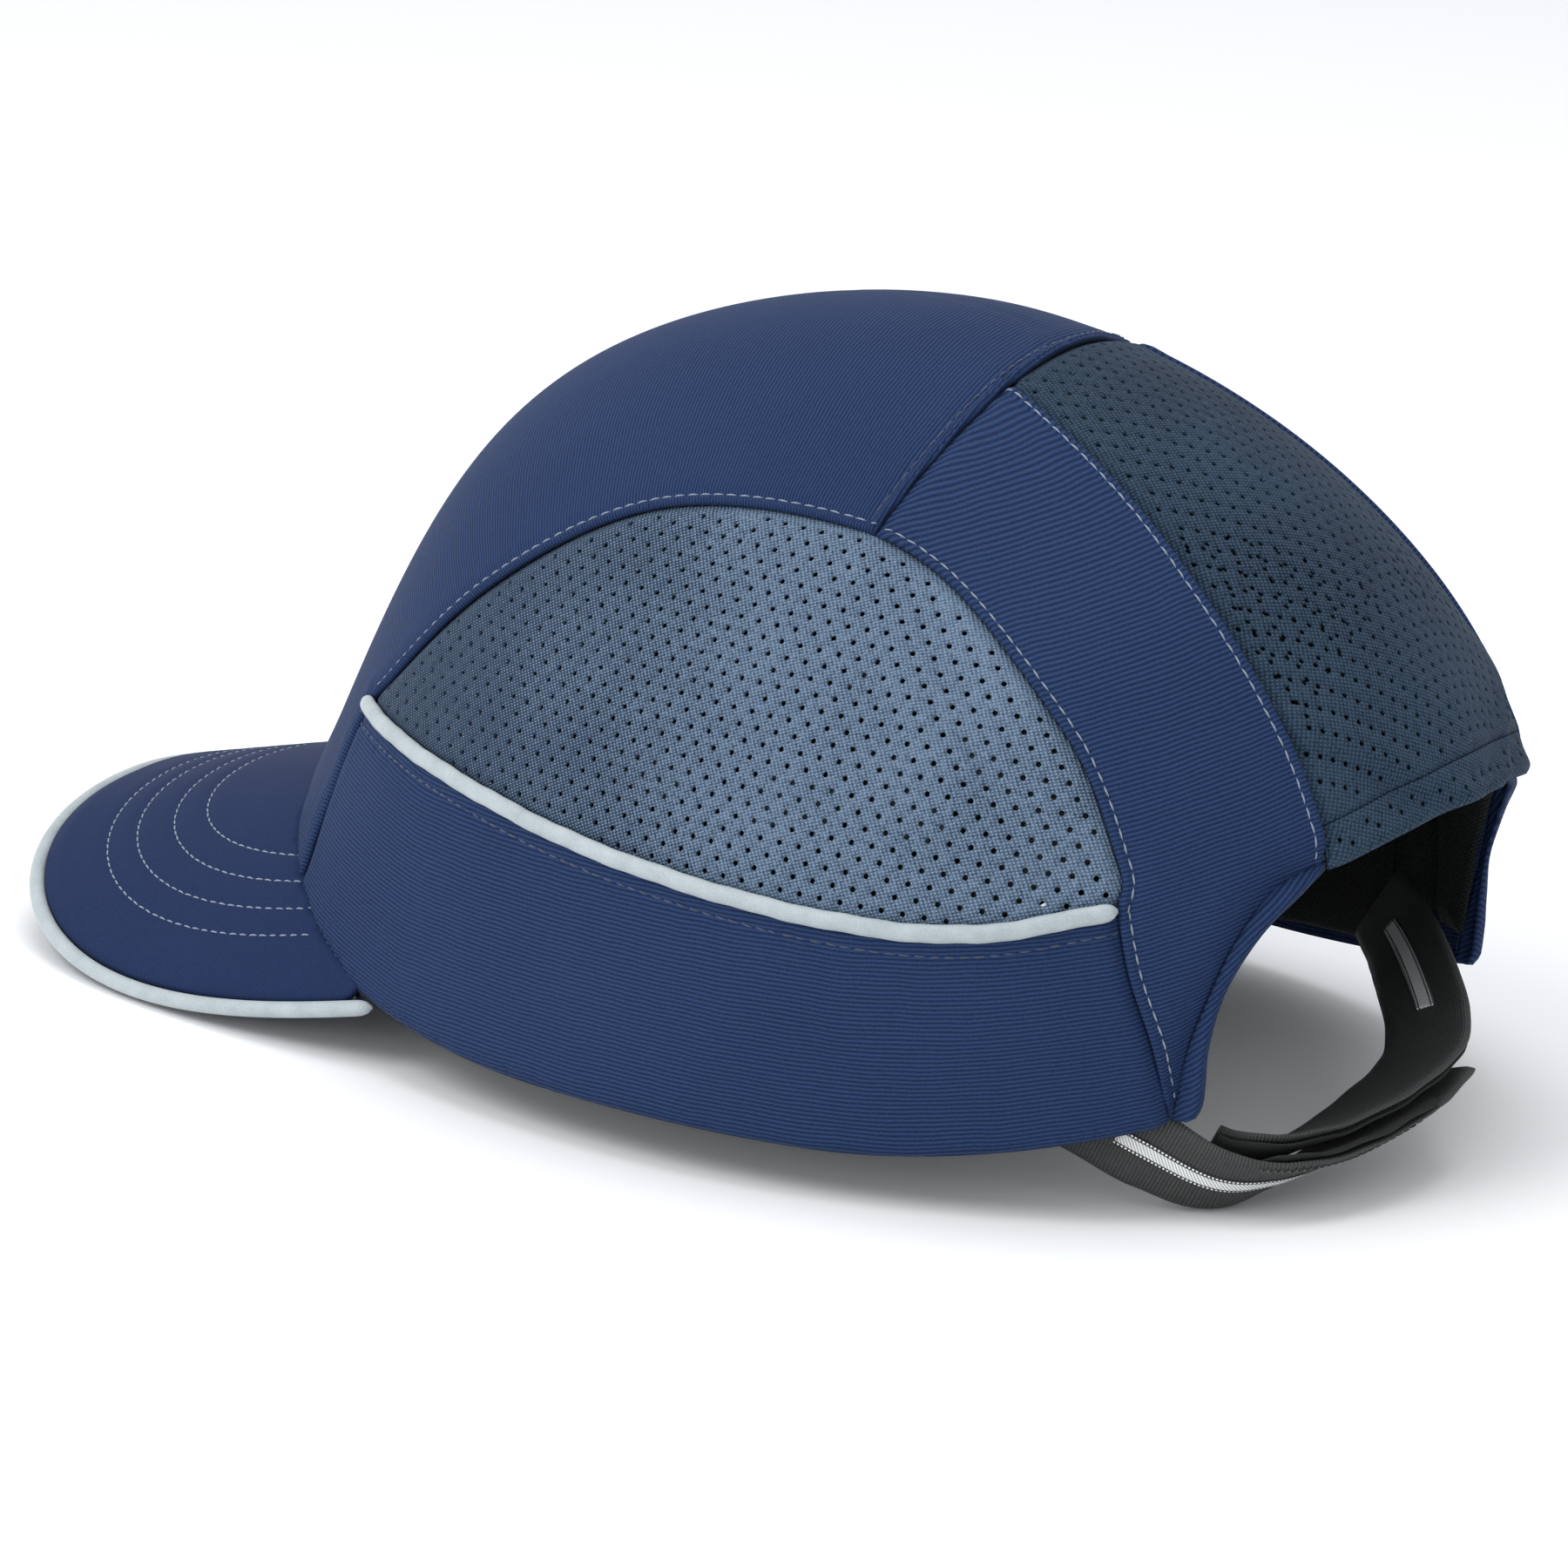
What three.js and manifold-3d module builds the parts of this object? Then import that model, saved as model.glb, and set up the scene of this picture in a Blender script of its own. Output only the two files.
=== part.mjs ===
// Bump cap: a fabric baseball-style cap over a hard inner shell, with foam pads, a curved peak
// and a hook-and-loop strap across the opening at the back.
//
// Millimetres. +Z is up, the peak points to -Y, the wearer's left is +X. The rim's flat
// underside is RIM_HEIGHT above the origin, which is the middle of the whole cap's footprint.
//
// The cap is one dome surface. Fabric, shell, lining and pads are layers at different depths
// under it, and each layer is cut into its panels by outlines drawn in side, rear or plan view.
import * as THREE from 'three';
import { mergeVertices } from 'three/addons/utils/BufferGeometryUtils.js';
import Module from 'manifold-3d';

const wasm = await Module();
wasm.setup();

// ---------------------------------------------------------------- driving dimensions

const GAP = 0.3; // clearance between neighbouring pieces
const STRAP_GAP = 0.5; // clearance between strips that twist together

// Where the dome's own origin (middle of the rim, at its lowest) stands in the part's frame.
const RIM_HEIGHT = 8.45;
const DOME_MIDDLE_Y = 30.7;

// Dome: an ellipse at the base plane, which lies DOME_BASE below the rim's lowest point.
const DOME = {
  halfWidth: 84.5,
  front: 128,
  rear: 102,
  height: 138.5,
  base: 13,
  frontRise: 0.885,
  sideRise: 0.965,
  rearRise: 0.865,
  frontFullness: [-0.04, -0.057],
  sideFullness: [0.03, 0.018],
  rearFullness: [0.215, 0.016],
};

// Depths of the layers below the dome surface: [outer face, inner face].
const FABRIC = [0, 1.1];
const LINING = [1.5, 4.0];
const SHELL = [2.0, 4.1];
const SWEATBAND = [4.5, 6.7];
const PAD = [4.5, 10];

// How finely the dome is faceted for the visible fabric and for the layers inside.
const FINE = { segments: 56, rings: 12 };
const COARSE = { segments: 36, rings: 9 };

// Rim: flat in the middle, rising towards the peak and towards the rear corners.
const RIM_FLAT = 25;
const RIM_RISE_REAR = 15.8;
const RIM_RISE_FRONT = 10.5;
const RIM_RISE_LENGTH = 75;

// Peak: a plate bent round a cylinder that falls forward.
const PEAK = {
  radius: 95,
  fall: 0.25,
  crestHeight: 21.7,
  halfWidth: 71.3,
  tip: 168.7,
  rear: 60,
  squareness: 3,
  topCover: [0, 0.8],
  board: [1.1, 2.6],
  underCover: [2.9, 3.7],
  pipingRadius: 1.4,
  pipingDepth: 1.6,
  reachUnderSide: 64, // how far forward of the dome's middle the peak starts to cut the side band
};

// Rear straps: webbing that loops behind the head, its outer face turning downwards.
const STRAP_WIDTH = 15;
const STRAP_THICKNESS = 1.4;
const PATCH_THICKNESS = 1.0;
const STRIPE_WIDTH = 3;
const STRIPE_THICKNESS = 0.4;
const STATION = 1 / 6; // spacing of the bends, in loop points
const PIPING_RADIUS = 1.3;

// Seams drawn in side view, as (y, z).
const ARCH = [[-85, 49], [-57, 76], [-27, 94], [5, 98], [31, 92], [58, 71], [70, 52], [71, 45]];
const PIPING = [[-85, 49], [-50, 46], [-14, 42], [25, 39], [50, 39.5], [71, 45]];
const BAND_FRONT = [[-85, 49], [-89, 41], [-92.4, 30], [-97.5, 15], [-110, -20]];
const BAND_REAR = [[71, 45], [74, 34], [78, 22], [80.5, 8], [84, -20]];
const SHELL_EDGE = [[-150, 24], [10, 26], [45, 34], [75, 56], [88, 64], [150, 66]];
const SWEATBAND_TOP = [[-150, 46], [-60, 39], [0, 36], [64, 36]];
const SWEATBAND_BOTTOM = [[64, 6], [25, 2], [-25, 2], [-65, 6], [-97, 16], [-150, 22]];
const LINING_EDGE = [[50, 15], [50, 33], [74, 52], [95, 52], [95, 15]];
const LINING_MARGIN = 1.03; // how much wider than the rear opening the lining's own cut is

// Vent slots through the shell: two rows in each side, and one slot on each side of the top.
const SIDE_VENTS = {
  length: 20,
  height: 8,
  rows: [{ z: 56, at: [-42, -13, 16, 44] }, { z: 74, at: [-27, 2, 31] }],
};
const TOP_VENTS = { width: 8, length: 44, x: 24 };

// Foam pads, as [width, height, corner radius, centre across, centre up] in rear, side or plan view.
const FRONT_PAD = [92, 22, 8, 0, 63];
const REAR_PAD = [58, 24, 8, 0, 82];
const SIDE_PAD = [84, 22, 8, 0, 52];
const CROWN_PAD = [62, 84, 12, 0, -4];

// Crown seam in plan: y at the middle, and how much further forward it is at a given x.
const CROWN_SEAM = { y: 25.5, forward: 9, atX: 52 };
// Side seams of the rear mesh in plan, as (x, y).
const REAR_SEAM = [[20, 16], [21.7, 24], [25.8, 38], [29.7, 53], [33.7, 68.5], [36, 82], [37, 97], [37, 130]];
// Rear opening in rear view, as (x, z): its edge, the fold in front of the edge, and the hem.
const OPENING_EDGE = [[56, -20], [53, 10], [53.3, 22], [51.5, 32], [47, 41], [41, 47.5], [37, 51]];
const OPENING_FOLD = [[59, -20], [56.2, 10], [56, 18], [54.6, 27], [50.7, 39], [44.5, 48.5], [37, 53]];
const HEM = { height: 58, drop: 7, halfWidth: 37, depth: 7 };

// Path of the strap loop, as [x, y, z, turn of the outer face downwards in degrees].
const STRAP_LOOP = [
  [57.8, 59.5, 10, 0],
  [54.4, 75, 3.2, 8],
  [49, 86, -1.6, 32],
  [42, 92.3, -1.8, 52],
  [31, 97, -0.2, 66],
  [17, 100.5, 3, 73],
  [0, 100.5, 6, 73],
  [-13.5, 95, 7.8, 70],
  [-27, 87.5, 9, 62],
  [-41, 79.5, 10, 50],
  [-54, 71.5, 11, 36],
  [-65, 62, 14.5, 20],
];
const LEFT_HINGE = 1.5; // places on the loop, as point indexes, where the straps leave the cap
const RIGHT_HINGE = 10;
const HINGE_GAP = 0.06; // half the gap at a hinge, as a share of the way to the next loop point
const TAB_START = 5.35;
const TAB_END = 6.15;
const ROOT_LEFT_END = 1.1;
const ROOT_RIGHT_END = 10.6;
const RIGHT_STRAP_END = 1.75;
const HOOK_START = 2.6;
const LOOP_END = 6.6;
const RIGHT_STRIPE_START = 7.2;

// Materials: [colour, roughness, metalness].
const MATERIALS = {
  twill: [0x2c3c64, 0.75, 0],
  mesh: [0x53677e, 0.8, 0],
  piping: [0xc3ccd0, 0.35, 0],
  lining: [0x15191a, 0.9, 0],
  webbing: [0x1c2020, 0.8, 0],
  stripe: [0xd8dcdc, 0.3, 0],
  shell: [0x24282c, 0.4, 0],
  foam: [0x8d969c, 0.95, 0],
  board: [0x2a2d30, 0.6, 0],
};

// ---------------------------------------------------------------- dome surface

const TURN = Math.PI * 2;
const QUARTER = Math.PI / 2;

// Point of the dome: angle 0 faces the peak and a quarter turn the wearer's left; rise goes
// from 0 at the base plane to a quarter turn at the top.
function surfacePoint(angle, rise) {
  const toFront = Math.cos(angle);
  const toLeft = Math.sin(angle);
  const power = toFront > 0 ? DOME.frontRise : DOME.rearRise;
  const exponent = power * toFront ** 2 + DOME.sideRise * toLeft ** 2;
  const swell = ([low, high]) => 1 + low * Math.sin(2 * rise) + high * Math.sin(4 * rise);
  const reach = toFront > 0 ? DOME.front * swell(DOME.frontFullness) : DOME.rear * swell(DOME.rearFullness);
  return new THREE.Vector3(
    DOME.halfWidth * swell(DOME.sideFullness) * Math.cos(rise) * toLeft,
    -reach * Math.cos(rise) * toFront,
    DOME.height * Math.max(Math.sin(rise), 0) ** exponent - DOME.base,
  );
}

// The same point, moved in by depth along the surface's normal.
function domePoint(angle, rise, depth) {
  const step = 0.01;
  const safeRise = Math.min(Math.max(rise, 2 * step), QUARTER - 2 * step);
  const along = surfacePoint(angle + step, safeRise).sub(surfacePoint(angle - step, safeRise));
  const up = surfacePoint(angle, safeRise + step).sub(surfacePoint(angle, safeRise - step));
  const normal = along.cross(up).normalize();
  return surfacePoint(angle, rise).addScaledVector(normal, -depth);
}

// Point of the dome's left side that shows at (y, z) in side view, at the given depth.
function sidePoint(y, z, depth) {
  let low = 0;
  let high = Math.PI;
  let rise = 0;
  for (let pass = 0; pass < 40; pass += 1) {
    const angle = (low + high) / 2;
    const toFront = Math.cos(angle);
    const power = toFront > 0 ? DOME.frontRise : DOME.rearRise;
    const exponent = power * toFront ** 2 + DOME.sideRise * Math.sin(angle) ** 2;
    rise = Math.asin(((z + DOME.base) / DOME.height) ** (1 / exponent));
    if (surfacePoint(angle, rise).y < y) low = angle;
    else high = angle;
  }
  return domePoint(low, rise, depth);
}

// ---------------------------------------------------------------- solids

// A closed mesh as a solid that can be joined and cut.
function toSolid(geometry) {
  const bare = geometry.index ? geometry.toNonIndexed() : geometry.clone();
  for (const name of Object.keys(bare.attributes)) if (name !== 'position') bare.deleteAttribute(name);
  const merged = mergeVertices(bare, 1e-4);
  const solid = new wasm.Manifold(new wasm.Mesh({
    numProp: 3,
    vertProperties: new Float32Array(merged.attributes.position.array),
    triVerts: new Uint32Array(merged.index.array),
  }));
  return solid;
}

function toGeometry(solid) {
  const mesh = solid.getMesh();
  const geometry = new THREE.BufferGeometry();
  geometry.setAttribute('position', new THREE.BufferAttribute(Float32Array.from(mesh.vertProperties), 3));
  geometry.setIndex(new THREE.BufferAttribute(Uint32Array.from(mesh.triVerts), 1));
  return geometry;
}

// Everything under the dome at one depth, down to well below the rim.
function domeSolid(depth, { segments, rings }) {
  const below = -30;
  const profile = [new THREE.Vector2(0, below), new THREE.Vector2(1, below)];
  for (let ring = 0; ring <= rings; ring += 1) {
    const rise = (QUARTER * ring) / rings;
    profile.push(new THREE.Vector2(ring === rings ? 0 : Math.cos(rise), Math.sin(rise)));
  }
  const geometry = new THREE.LatheGeometry(profile, segments);
  const position = geometry.attributes.position;
  for (let i = 0; i < position.count; i += 1) {
    const across = position.getX(i);
    const height = position.getY(i);
    const ahead = position.getZ(i);
    const radius = Math.hypot(across, ahead);
    const angle = Math.atan2(across, ahead);
    const point = domePoint(angle, Math.atan2(Math.max(height, 0), Math.max(radius, 1e-9)), depth);
    if (height < 0) point.set(point.x * radius, point.y * radius, below - DOME.base);
    position.setXYZ(i, point.x, point.y, point.z);
  }
  return toSolid(geometry);
}

function layer([outer, inner], grain) {
  return domeSolid(outer, grain).subtract(domeSolid(inner, grain));
}

const VIEWS = {
  side: [new THREE.Vector3(0, 1, 0), new THREE.Vector3(0, 0, 1), new THREE.Vector3(1, 0, 0)],
  rear: [new THREE.Vector3(1, 0, 0), new THREE.Vector3(0, 0, 1), new THREE.Vector3(0, -1, 0)],
  plan: [new THREE.Vector3(1, 0, 0), new THREE.Vector3(0, 1, 0), new THREE.Vector3(0, 0, 1)],
};

// Outline drawn in a view, extruded along the view's direction from start to end.
function prism(view, outline, start, end) {
  const shape = outline instanceof THREE.Shape ? outline : new THREE.Shape(outline);
  const geometry = new THREE.ExtrudeGeometry(shape, { depth: end - start, bevelEnabled: false, curveSegments: 3 });
  geometry.translate(0, 0, start);
  geometry.applyMatrix4(new THREE.Matrix4().makeBasis(...VIEWS[view]));
  return toSolid(geometry);
}

const toVectors = (pairs) => pairs.map(([a, b]) => new THREE.Vector2(a, b));
const smooth = (pairs, steps) => new THREE.SplineCurve(toVectors(pairs)).getPoints(steps);
const mirrored = (points) => points.map((p) => new THREE.Vector2(-p.x, p.y)).reverse();

// A thin wall along a seam, to part the panels on its two sides.
function seamWall(view, points, start, end) {
  const sides = [[], []];
  points.forEach((point, i) => {
    const before = points[Math.max(i - 1, 0)];
    const after = points[Math.min(i + 1, points.length - 1)];
    const across = after.clone().sub(before).normalize().multiplyScalar(GAP / 2);
    sides[0].push(new THREE.Vector2(point.x - across.y, point.y + across.x));
    sides[1].push(new THREE.Vector2(point.x + across.y, point.y - across.x));
  });
  return prism(view, [...sides[0], ...sides[1].reverse()], start, end);
}

function roundedRectangle(width, height, radius, centreA = 0, centreB = 0) {
  const shape = new THREE.Shape();
  const corners = [[1, -1, -QUARTER], [1, 1, 0], [-1, 1, QUARTER], [-1, -1, Math.PI]];
  for (const [a, b, from] of corners) {
    const arcA = centreA + a * (width / 2 - radius);
    const arcB = centreB + b * (height / 2 - radius);
    shape.absarc(arcA, arcB, radius, from, from + QUARTER, false);
  }
  return shape;
}

const WIDE = 150; // further out than any piece reaches

// ---------------------------------------------------------------- outlines

const archLine = smooth(ARCH, 24);
const pipingLine = smooth(PIPING, 16);
const bandFrontLine = smooth(BAND_FRONT, 8);
const bandRearLine = smooth(BAND_REAR, 8);
const openingEdge = smooth(OPENING_EDGE, 12);
const openingFold = smooth(OPENING_FOLD, 12);

function rimHeight(y) {
  const past = Math.max(Math.abs(y) - RIM_FLAT, 0) / RIM_RISE_LENGTH;
  return (y > 0 ? RIM_RISE_REAR : RIM_RISE_FRONT) * past ** 2;
}

function hemHeight(x) {
  return HEM.height - HEM.drop * (x / HEM.halfWidth) ** 2;
}

function crownSeamY(x) {
  return CROWN_SEAM.y - CROWN_SEAM.forward * (x / CROWN_SEAM.atX) ** 2;
}

function belowRim() {
  const points = [new THREE.Vector2(-WIDE, -80)];
  points.push(new THREE.Vector2(WIDE, -80));
  for (let y = 120; y >= -120; y -= y > -RIM_FLAT && y <= RIM_FLAT ? 2 * RIM_FLAT : 5) {
    points.push(new THREE.Vector2(y, rimHeight(y)));
  }
  return prism('side', points, -WIDE, WIDE);
}

// The rear opening, from under the rim up to the hem, widened by lift at the hem.
function openingOutline(edge, lift) {
  const hem = [];
  for (let x = HEM.halfWidth; x >= -HEM.halfWidth; x -= HEM.halfWidth / 5) {
    hem.push(new THREE.Vector2(x, hemHeight(x) + lift));
  }
  return [...edge, ...hem.slice(1, -1), ...mirrored(edge)];
}

const sideRange = { 1: [5, WIDE], '-1': [-WIDE, -5] };

function archPrism(side) {
  return prism('side', [...archLine, ...pipingLine.slice(1, -1).reverse()], ...sideRange[side]);
}

function bandPrism(side) {
  const outline = [...bandFrontLine.slice(1).reverse(), ...pipingLine, ...bandRearLine.slice(1)];
  return prism('side', outline, ...sideRange[side]);
}

function behindCrownSeam() {
  const points = [];
  for (let x = -90; x <= 90; x += 10) points.push(new THREE.Vector2(x, crownSeamY(x)));
  return prism('plan', [...points, new THREE.Vector2(WIDE, 200), new THREE.Vector2(-WIDE, 200)], -60, 160);
}

function betweenRearSeams() {
  const right = toVectors(REAR_SEAM);
  return prism('plan', [...right, ...mirrored(right)], -60, 160);
}

// ---------------------------------------------------------------- peak tools

const peakSlant = Math.atan(PEAK.fall);

// Everything under the peak's top surface, at a depth below it.
function underPeak(depth, segments = 72) {
  const length = 320;
  const geometry = new THREE.CylinderGeometry(PEAK.radius - depth, PEAK.radius - depth, length, segments);
  geometry.rotateX(peakSlant);
  geometry.translate(0, -DOME.front, PEAK.crestHeight - PEAK.radius / Math.cos(peakSlant));
  return toSolid(geometry);
}

function peakSurface(x, y, depth) {
  const radius = PEAK.radius - depth;
  const crest = PEAK.crestHeight + PEAK.fall * (y + DOME.front) - PEAK.radius / Math.cos(peakSlant);
  return crest + Math.sqrt(radius ** 2 - x ** 2) / Math.cos(peakSlant);
}

// Edge of the peak in plan, from one rear corner round the tip to the other.
function peakEdge(inset, steps = 36) {
  const points = [];
  for (let i = 0; i <= steps; i += 1) {
    const turn = -QUARTER + (Math.PI * i) / steps;
    const across = Math.sign(Math.sin(turn)) * Math.abs(Math.sin(turn)) ** (2 / PEAK.squareness);
    const ahead = Math.abs(Math.cos(turn)) ** (2 / PEAK.squareness);
    const reach = PEAK.tip - inset - PEAK.rear;
    points.push(new THREE.Vector2((PEAK.halfWidth - inset) * across, -PEAK.rear - reach * ahead));
  }
  return points;
}

// ---------------------------------------------------------------- fabric panels

function makeFabric() {
  const openingDepth = [-WIDE, -40];
  let skin = layer(FABRIC, FINE);
  skin = skin.subtract(belowRim());
  skin = skin.subtract(prism('rear', openingOutline(openingEdge, 0), ...openingDepth));
  const front = -PEAK.reachUnderSide;
  const frontOfCorner = prism('side', toVectors([[front, -60], [front, 60], [-WIDE, 60], [-WIDE, -60]]), -WIDE, WIDE);
  skin = skin.subtract(underPeak(-GAP).intersect(frontOfCorner));
  for (const side of [1, -1]) {
    for (const line of [archLine, pipingLine, bandFrontLine, bandRearLine]) {
      skin = skin.subtract(seamWall('side', line, ...sideRange[side]));
    }
  }
  const arches = { left: archPrism(1), right: archPrism(-1) };
  const bands = { left: bandPrism(1), right: bandPrism(-1) };
  const sides = arches.left.add(arches.right).add(bands.left).add(bands.right);
  const behind = behindCrownSeam();
  const rest = skin.subtract(sides);
  const middle = betweenRearSeams();
  const hemStrip = prism('rear', openingOutline(openingEdge, HEM.depth), ...openingDepth);
  const foldStrip = prism('rear', openingOutline(openingFold, 0.1), ...openingDepth);
  const grownSeam = behind.translate(0, GAP, 0);
  const rear = rest.intersect(grownSeam);
  const mesh = rear.intersect(middle);
  const flanks = rear.subtract(middle.scale([1 + GAP / HEM.halfWidth, 1, 1]));
  const half = { left: prism('plan', toVectors([[0, -200], [200, -200], [200, 200], [0, 200]]), -60, 160) };
  half.right = half.left.mirror([1, 0, 0]);
  const panels = {
    crown_panel: rest.subtract(behind),
    rear_mesh: mesh.subtract(hemStrip.translate(0, 0, GAP)),
    rear_hem: mesh.intersect(hemStrip),
  };
  for (const name of ['left', 'right']) {
    panels[`side_mesh_${name}`] = skin.intersect(arches[name]);
    panels[`side_band_${name}`] = skin.intersect(bands[name]);
    const flank = flanks.intersect(half[name]);
    panels[`rear_side_${name}`] = flank.subtract(foldStrip.translate(name === 'left' ? GAP : -GAP, 0, 0));
    panels[`opening_border_${name}`] = flank.intersect(foldStrip);
  }
  return panels;
}

// ---------------------------------------------------------------- inner pieces

function makeShell() {
  const rim = [...toVectors(SHELL_EDGE), new THREE.Vector2(150, -60), new THREE.Vector2(-150, -60)];
  let shell = layer(SHELL, COARSE).subtract(prism('side', rim, -WIDE, WIDE));
  for (const { z, at } of SIDE_VENTS.rows) {
    for (const y of at) {
      const slot = roundedRectangle(SIDE_VENTS.length, SIDE_VENTS.height, SIDE_VENTS.height / 2.1, y, z);
      shell = shell.subtract(prism('side', slot, -WIDE, WIDE));
    }
  }
  for (const x of [-TOP_VENTS.x, TOP_VENTS.x]) {
    const slot = roundedRectangle(TOP_VENTS.width, TOP_VENTS.length, TOP_VENTS.width / 2.1, x, 0);
    shell = shell.subtract(prism('plan', slot, 60, 160));
  }
  return shell;
}

function makePads() {
  const foam = layer(PAD, COARSE);
  const across = (outline, start, end) => foam.intersect(prism('rear', outline, start, end));
  const along = (outline, start, end) => foam.intersect(prism('side', outline, start, end));
  return {
    pad_front: across(roundedRectangle(...FRONT_PAD), 20, WIDE),
    pad_rear: across(roundedRectangle(...REAR_PAD), -WIDE, -20),
    pad_left: along(roundedRectangle(...SIDE_PAD), 20, WIDE),
    pad_right: along(roundedRectangle(...SIDE_PAD), -WIDE, -20),
    pad_crown: foam.intersect(prism('plan', roundedRectangle(...CROWN_PAD), 60, 160)),
  };
}

function makeSweatband() {
  const outline = [...toVectors(SWEATBAND_TOP), ...toVectors(SWEATBAND_BOTTOM)];
  return layer(SWEATBAND, COARSE).intersect(prism('side', outline, -WIDE, WIDE));
}

function makeLinings() {
  const opening = prism('rear', openingOutline(openingEdge, 1), -WIDE, -40);
  const lining = layer(LINING, FINE).subtract(opening.scale([LINING_MARGIN, 1, 1]));
  const outline = toVectors(LINING_EDGE);
  return {
    rear_lining_left: lining.intersect(prism('side', outline, 5, WIDE)),
    rear_lining_right: lining.intersect(prism('side', outline, -WIDE, -5)),
  };
}

// ---------------------------------------------------------------- piping and peak

function tube(points, radius, sides = 6) {
  const section = new THREE.Shape();
  section.absarc(0, 0, radius, 0, TURN, false);
  const path = new THREE.CatmullRomCurve3(points);
  return new THREE.ExtrudeGeometry(section, {
    steps: points.length,
    curveSegments: sides / 2,
    bevelEnabled: false,
    extrudePath: path,
  });
}

function makeSidePiping(side) {
  const proud = -(PIPING_RADIUS + GAP + 0.2);
  const points = smooth(PIPING, 14).map((p) => sidePoint(p.x, p.y, proud));
  return tube(points.map((p) => new THREE.Vector3(side * p.x, p.y, p.z)), PIPING_RADIUS);
}

function makePeak() {
  const clearOfDome = domeSolid(-GAP, FINE);
  const outline = prism('plan', peakEdge(PEAK.pipingRadius + GAP), -60, 80);
  const plate = ([top, bottom]) => underPeak(top).subtract(underPeak(bottom))
    .intersect(outline).subtract(clearOfDome);
  return {
    peak_top: plate(PEAK.topCover),
    peak_board: plate(PEAK.board),
    peak_under: plate(PEAK.underCover),
  };
}

function makePeakPiping() {
  const rearLimit = -70;
  const points = peakEdge(0, 44).filter((p) => p.y < rearLimit);
  return tube(points.map((p) => new THREE.Vector3(p.x, p.y, peakSurface(p.x, p.y, PEAK.pipingDepth))), PEAK.pipingRadius);
}

// ---------------------------------------------------------------- straps

const strapPath = new THREE.CatmullRomCurve3(STRAP_LOOP.map(([x, y, z]) => new THREE.Vector3(x, y, z)));

// Place on the strap loop: at is a loop point's index or a place between two of them, side
// goes across the webbing and out goes away from the head.
function strapPoint(at, side, out) {
  const last = STRAP_LOOP.length - 1;
  const index = Math.min(Math.floor(at), last - 1);
  const turn = THREE.MathUtils.degToRad(
    THREE.MathUtils.lerp(STRAP_LOOP[index][3], STRAP_LOOP[index + 1][3], at - index),
  );
  const point = strapPath.getPoint(at / last);
  const tangent = strapPath.getTangent(at / last);
  const outward = new THREE.Vector3(-tangent.y, tangent.x, 0).normalize().negate();
  const upward = outward.clone().cross(tangent).normalize();
  if (upward.z < 0) upward.negate();
  const across = upward.clone().multiplyScalar(Math.cos(turn)).addScaledVector(outward, Math.sin(turn));
  const face = outward.clone().multiplyScalar(Math.cos(turn)).addScaledVector(upward, -Math.sin(turn));
  return point.addScaledVector(across, side).addScaledVector(face, out);
}

// A flat strip that follows the loop from one place to another. All strips bend at the same
// stations along the loop, so strips that lie on each other stay parallel.
function ribbon(from, to, width, thickness, out) {
  const stations = [from];
  for (let at = Math.floor(from / STATION + 1) * STATION; at < to; at += STATION) stations.push(at);
  stations.push(to);
  const steps = stations.length - 1;
  const geometry = new THREE.BoxGeometry(1, 1, 1, steps, 1, 1);
  const position = geometry.attributes.position;
  for (let i = 0; i < position.count; i += 1) {
    const at = stations[Math.round((position.getX(i) + 0.5) * steps)];
    const point = strapPoint(at, position.getY(i) * width, out + position.getZ(i) * thickness);
    position.setXYZ(i, point.x, point.y, point.z);
  }
  return geometry;
}

function makeStraps() {
  const webbing = STRAP_THICKNESS;
  const hookOut = -(webbing / 2 + STRAP_GAP + PATCH_THICKNESS / 2);
  const loopOut = hookOut - PATCH_THICKNESS - STRAP_GAP;
  const rightOut = loopOut - PATCH_THICKNESS / 2 - STRAP_GAP - webbing / 2;
  const stripeOut = webbing / 2 + STRAP_GAP + STRIPE_THICKNESS / 2;
  const leftStart = LEFT_HINGE + HINGE_GAP;
  const leftEnd = TAB_START - HINGE_GAP;
  const rightStart = RIGHT_HINGE - HINGE_GAP;
  const patch = STRAP_WIDTH - 2;
  return {
    strap_root_left: ribbon(0, ROOT_LEFT_END, STRAP_WIDTH, webbing, 0),
    strap_left: ribbon(leftStart, leftEnd, STRAP_WIDTH, webbing, 0),
    strap_tab: ribbon(TAB_START + HINGE_GAP, TAB_END, STRAP_WIDTH, webbing, 0),
    stripe_left: ribbon(leftStart, leftEnd, STRIPE_WIDTH, STRIPE_THICKNESS, stripeOut),
    hook_patch: ribbon(HOOK_START, leftEnd, patch, PATCH_THICKNESS, hookOut),
    strap_root_right: ribbon(RIGHT_HINGE + HINGE_GAP, ROOT_RIGHT_END, STRAP_WIDTH, webbing, rightOut),
    strap_right: ribbon(RIGHT_STRAP_END, rightStart, STRAP_WIDTH, webbing, rightOut),
    stripe_right: ribbon(RIGHT_STRIPE_START, rightStart, STRIPE_WIDTH, STRIPE_THICKNESS, rightOut - stripeOut),
    loop_patch: ribbon(RIGHT_STRAP_END, LOOP_END, patch, PATCH_THICKNESS, loopOut),
  };
}

// ---------------------------------------------------------------- assembly

const cap = new THREE.Group();
cap.position.set(0, DOME_MIDDLE_Y, RIM_HEIGHT);

function add(name, geometry, material) {
  const [color, roughness, metalness] = MATERIALS[material];
  const mesh = new THREE.Mesh(geometry, new THREE.MeshStandardMaterial({ color, roughness, metalness }));
  mesh.name = name;
  cap.add(mesh);
}

function addSolids(solids, materialOf) {
  for (const [name, solid] of Object.entries(solids)) add(name, toGeometry(solid), materialOf(name));
}

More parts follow.
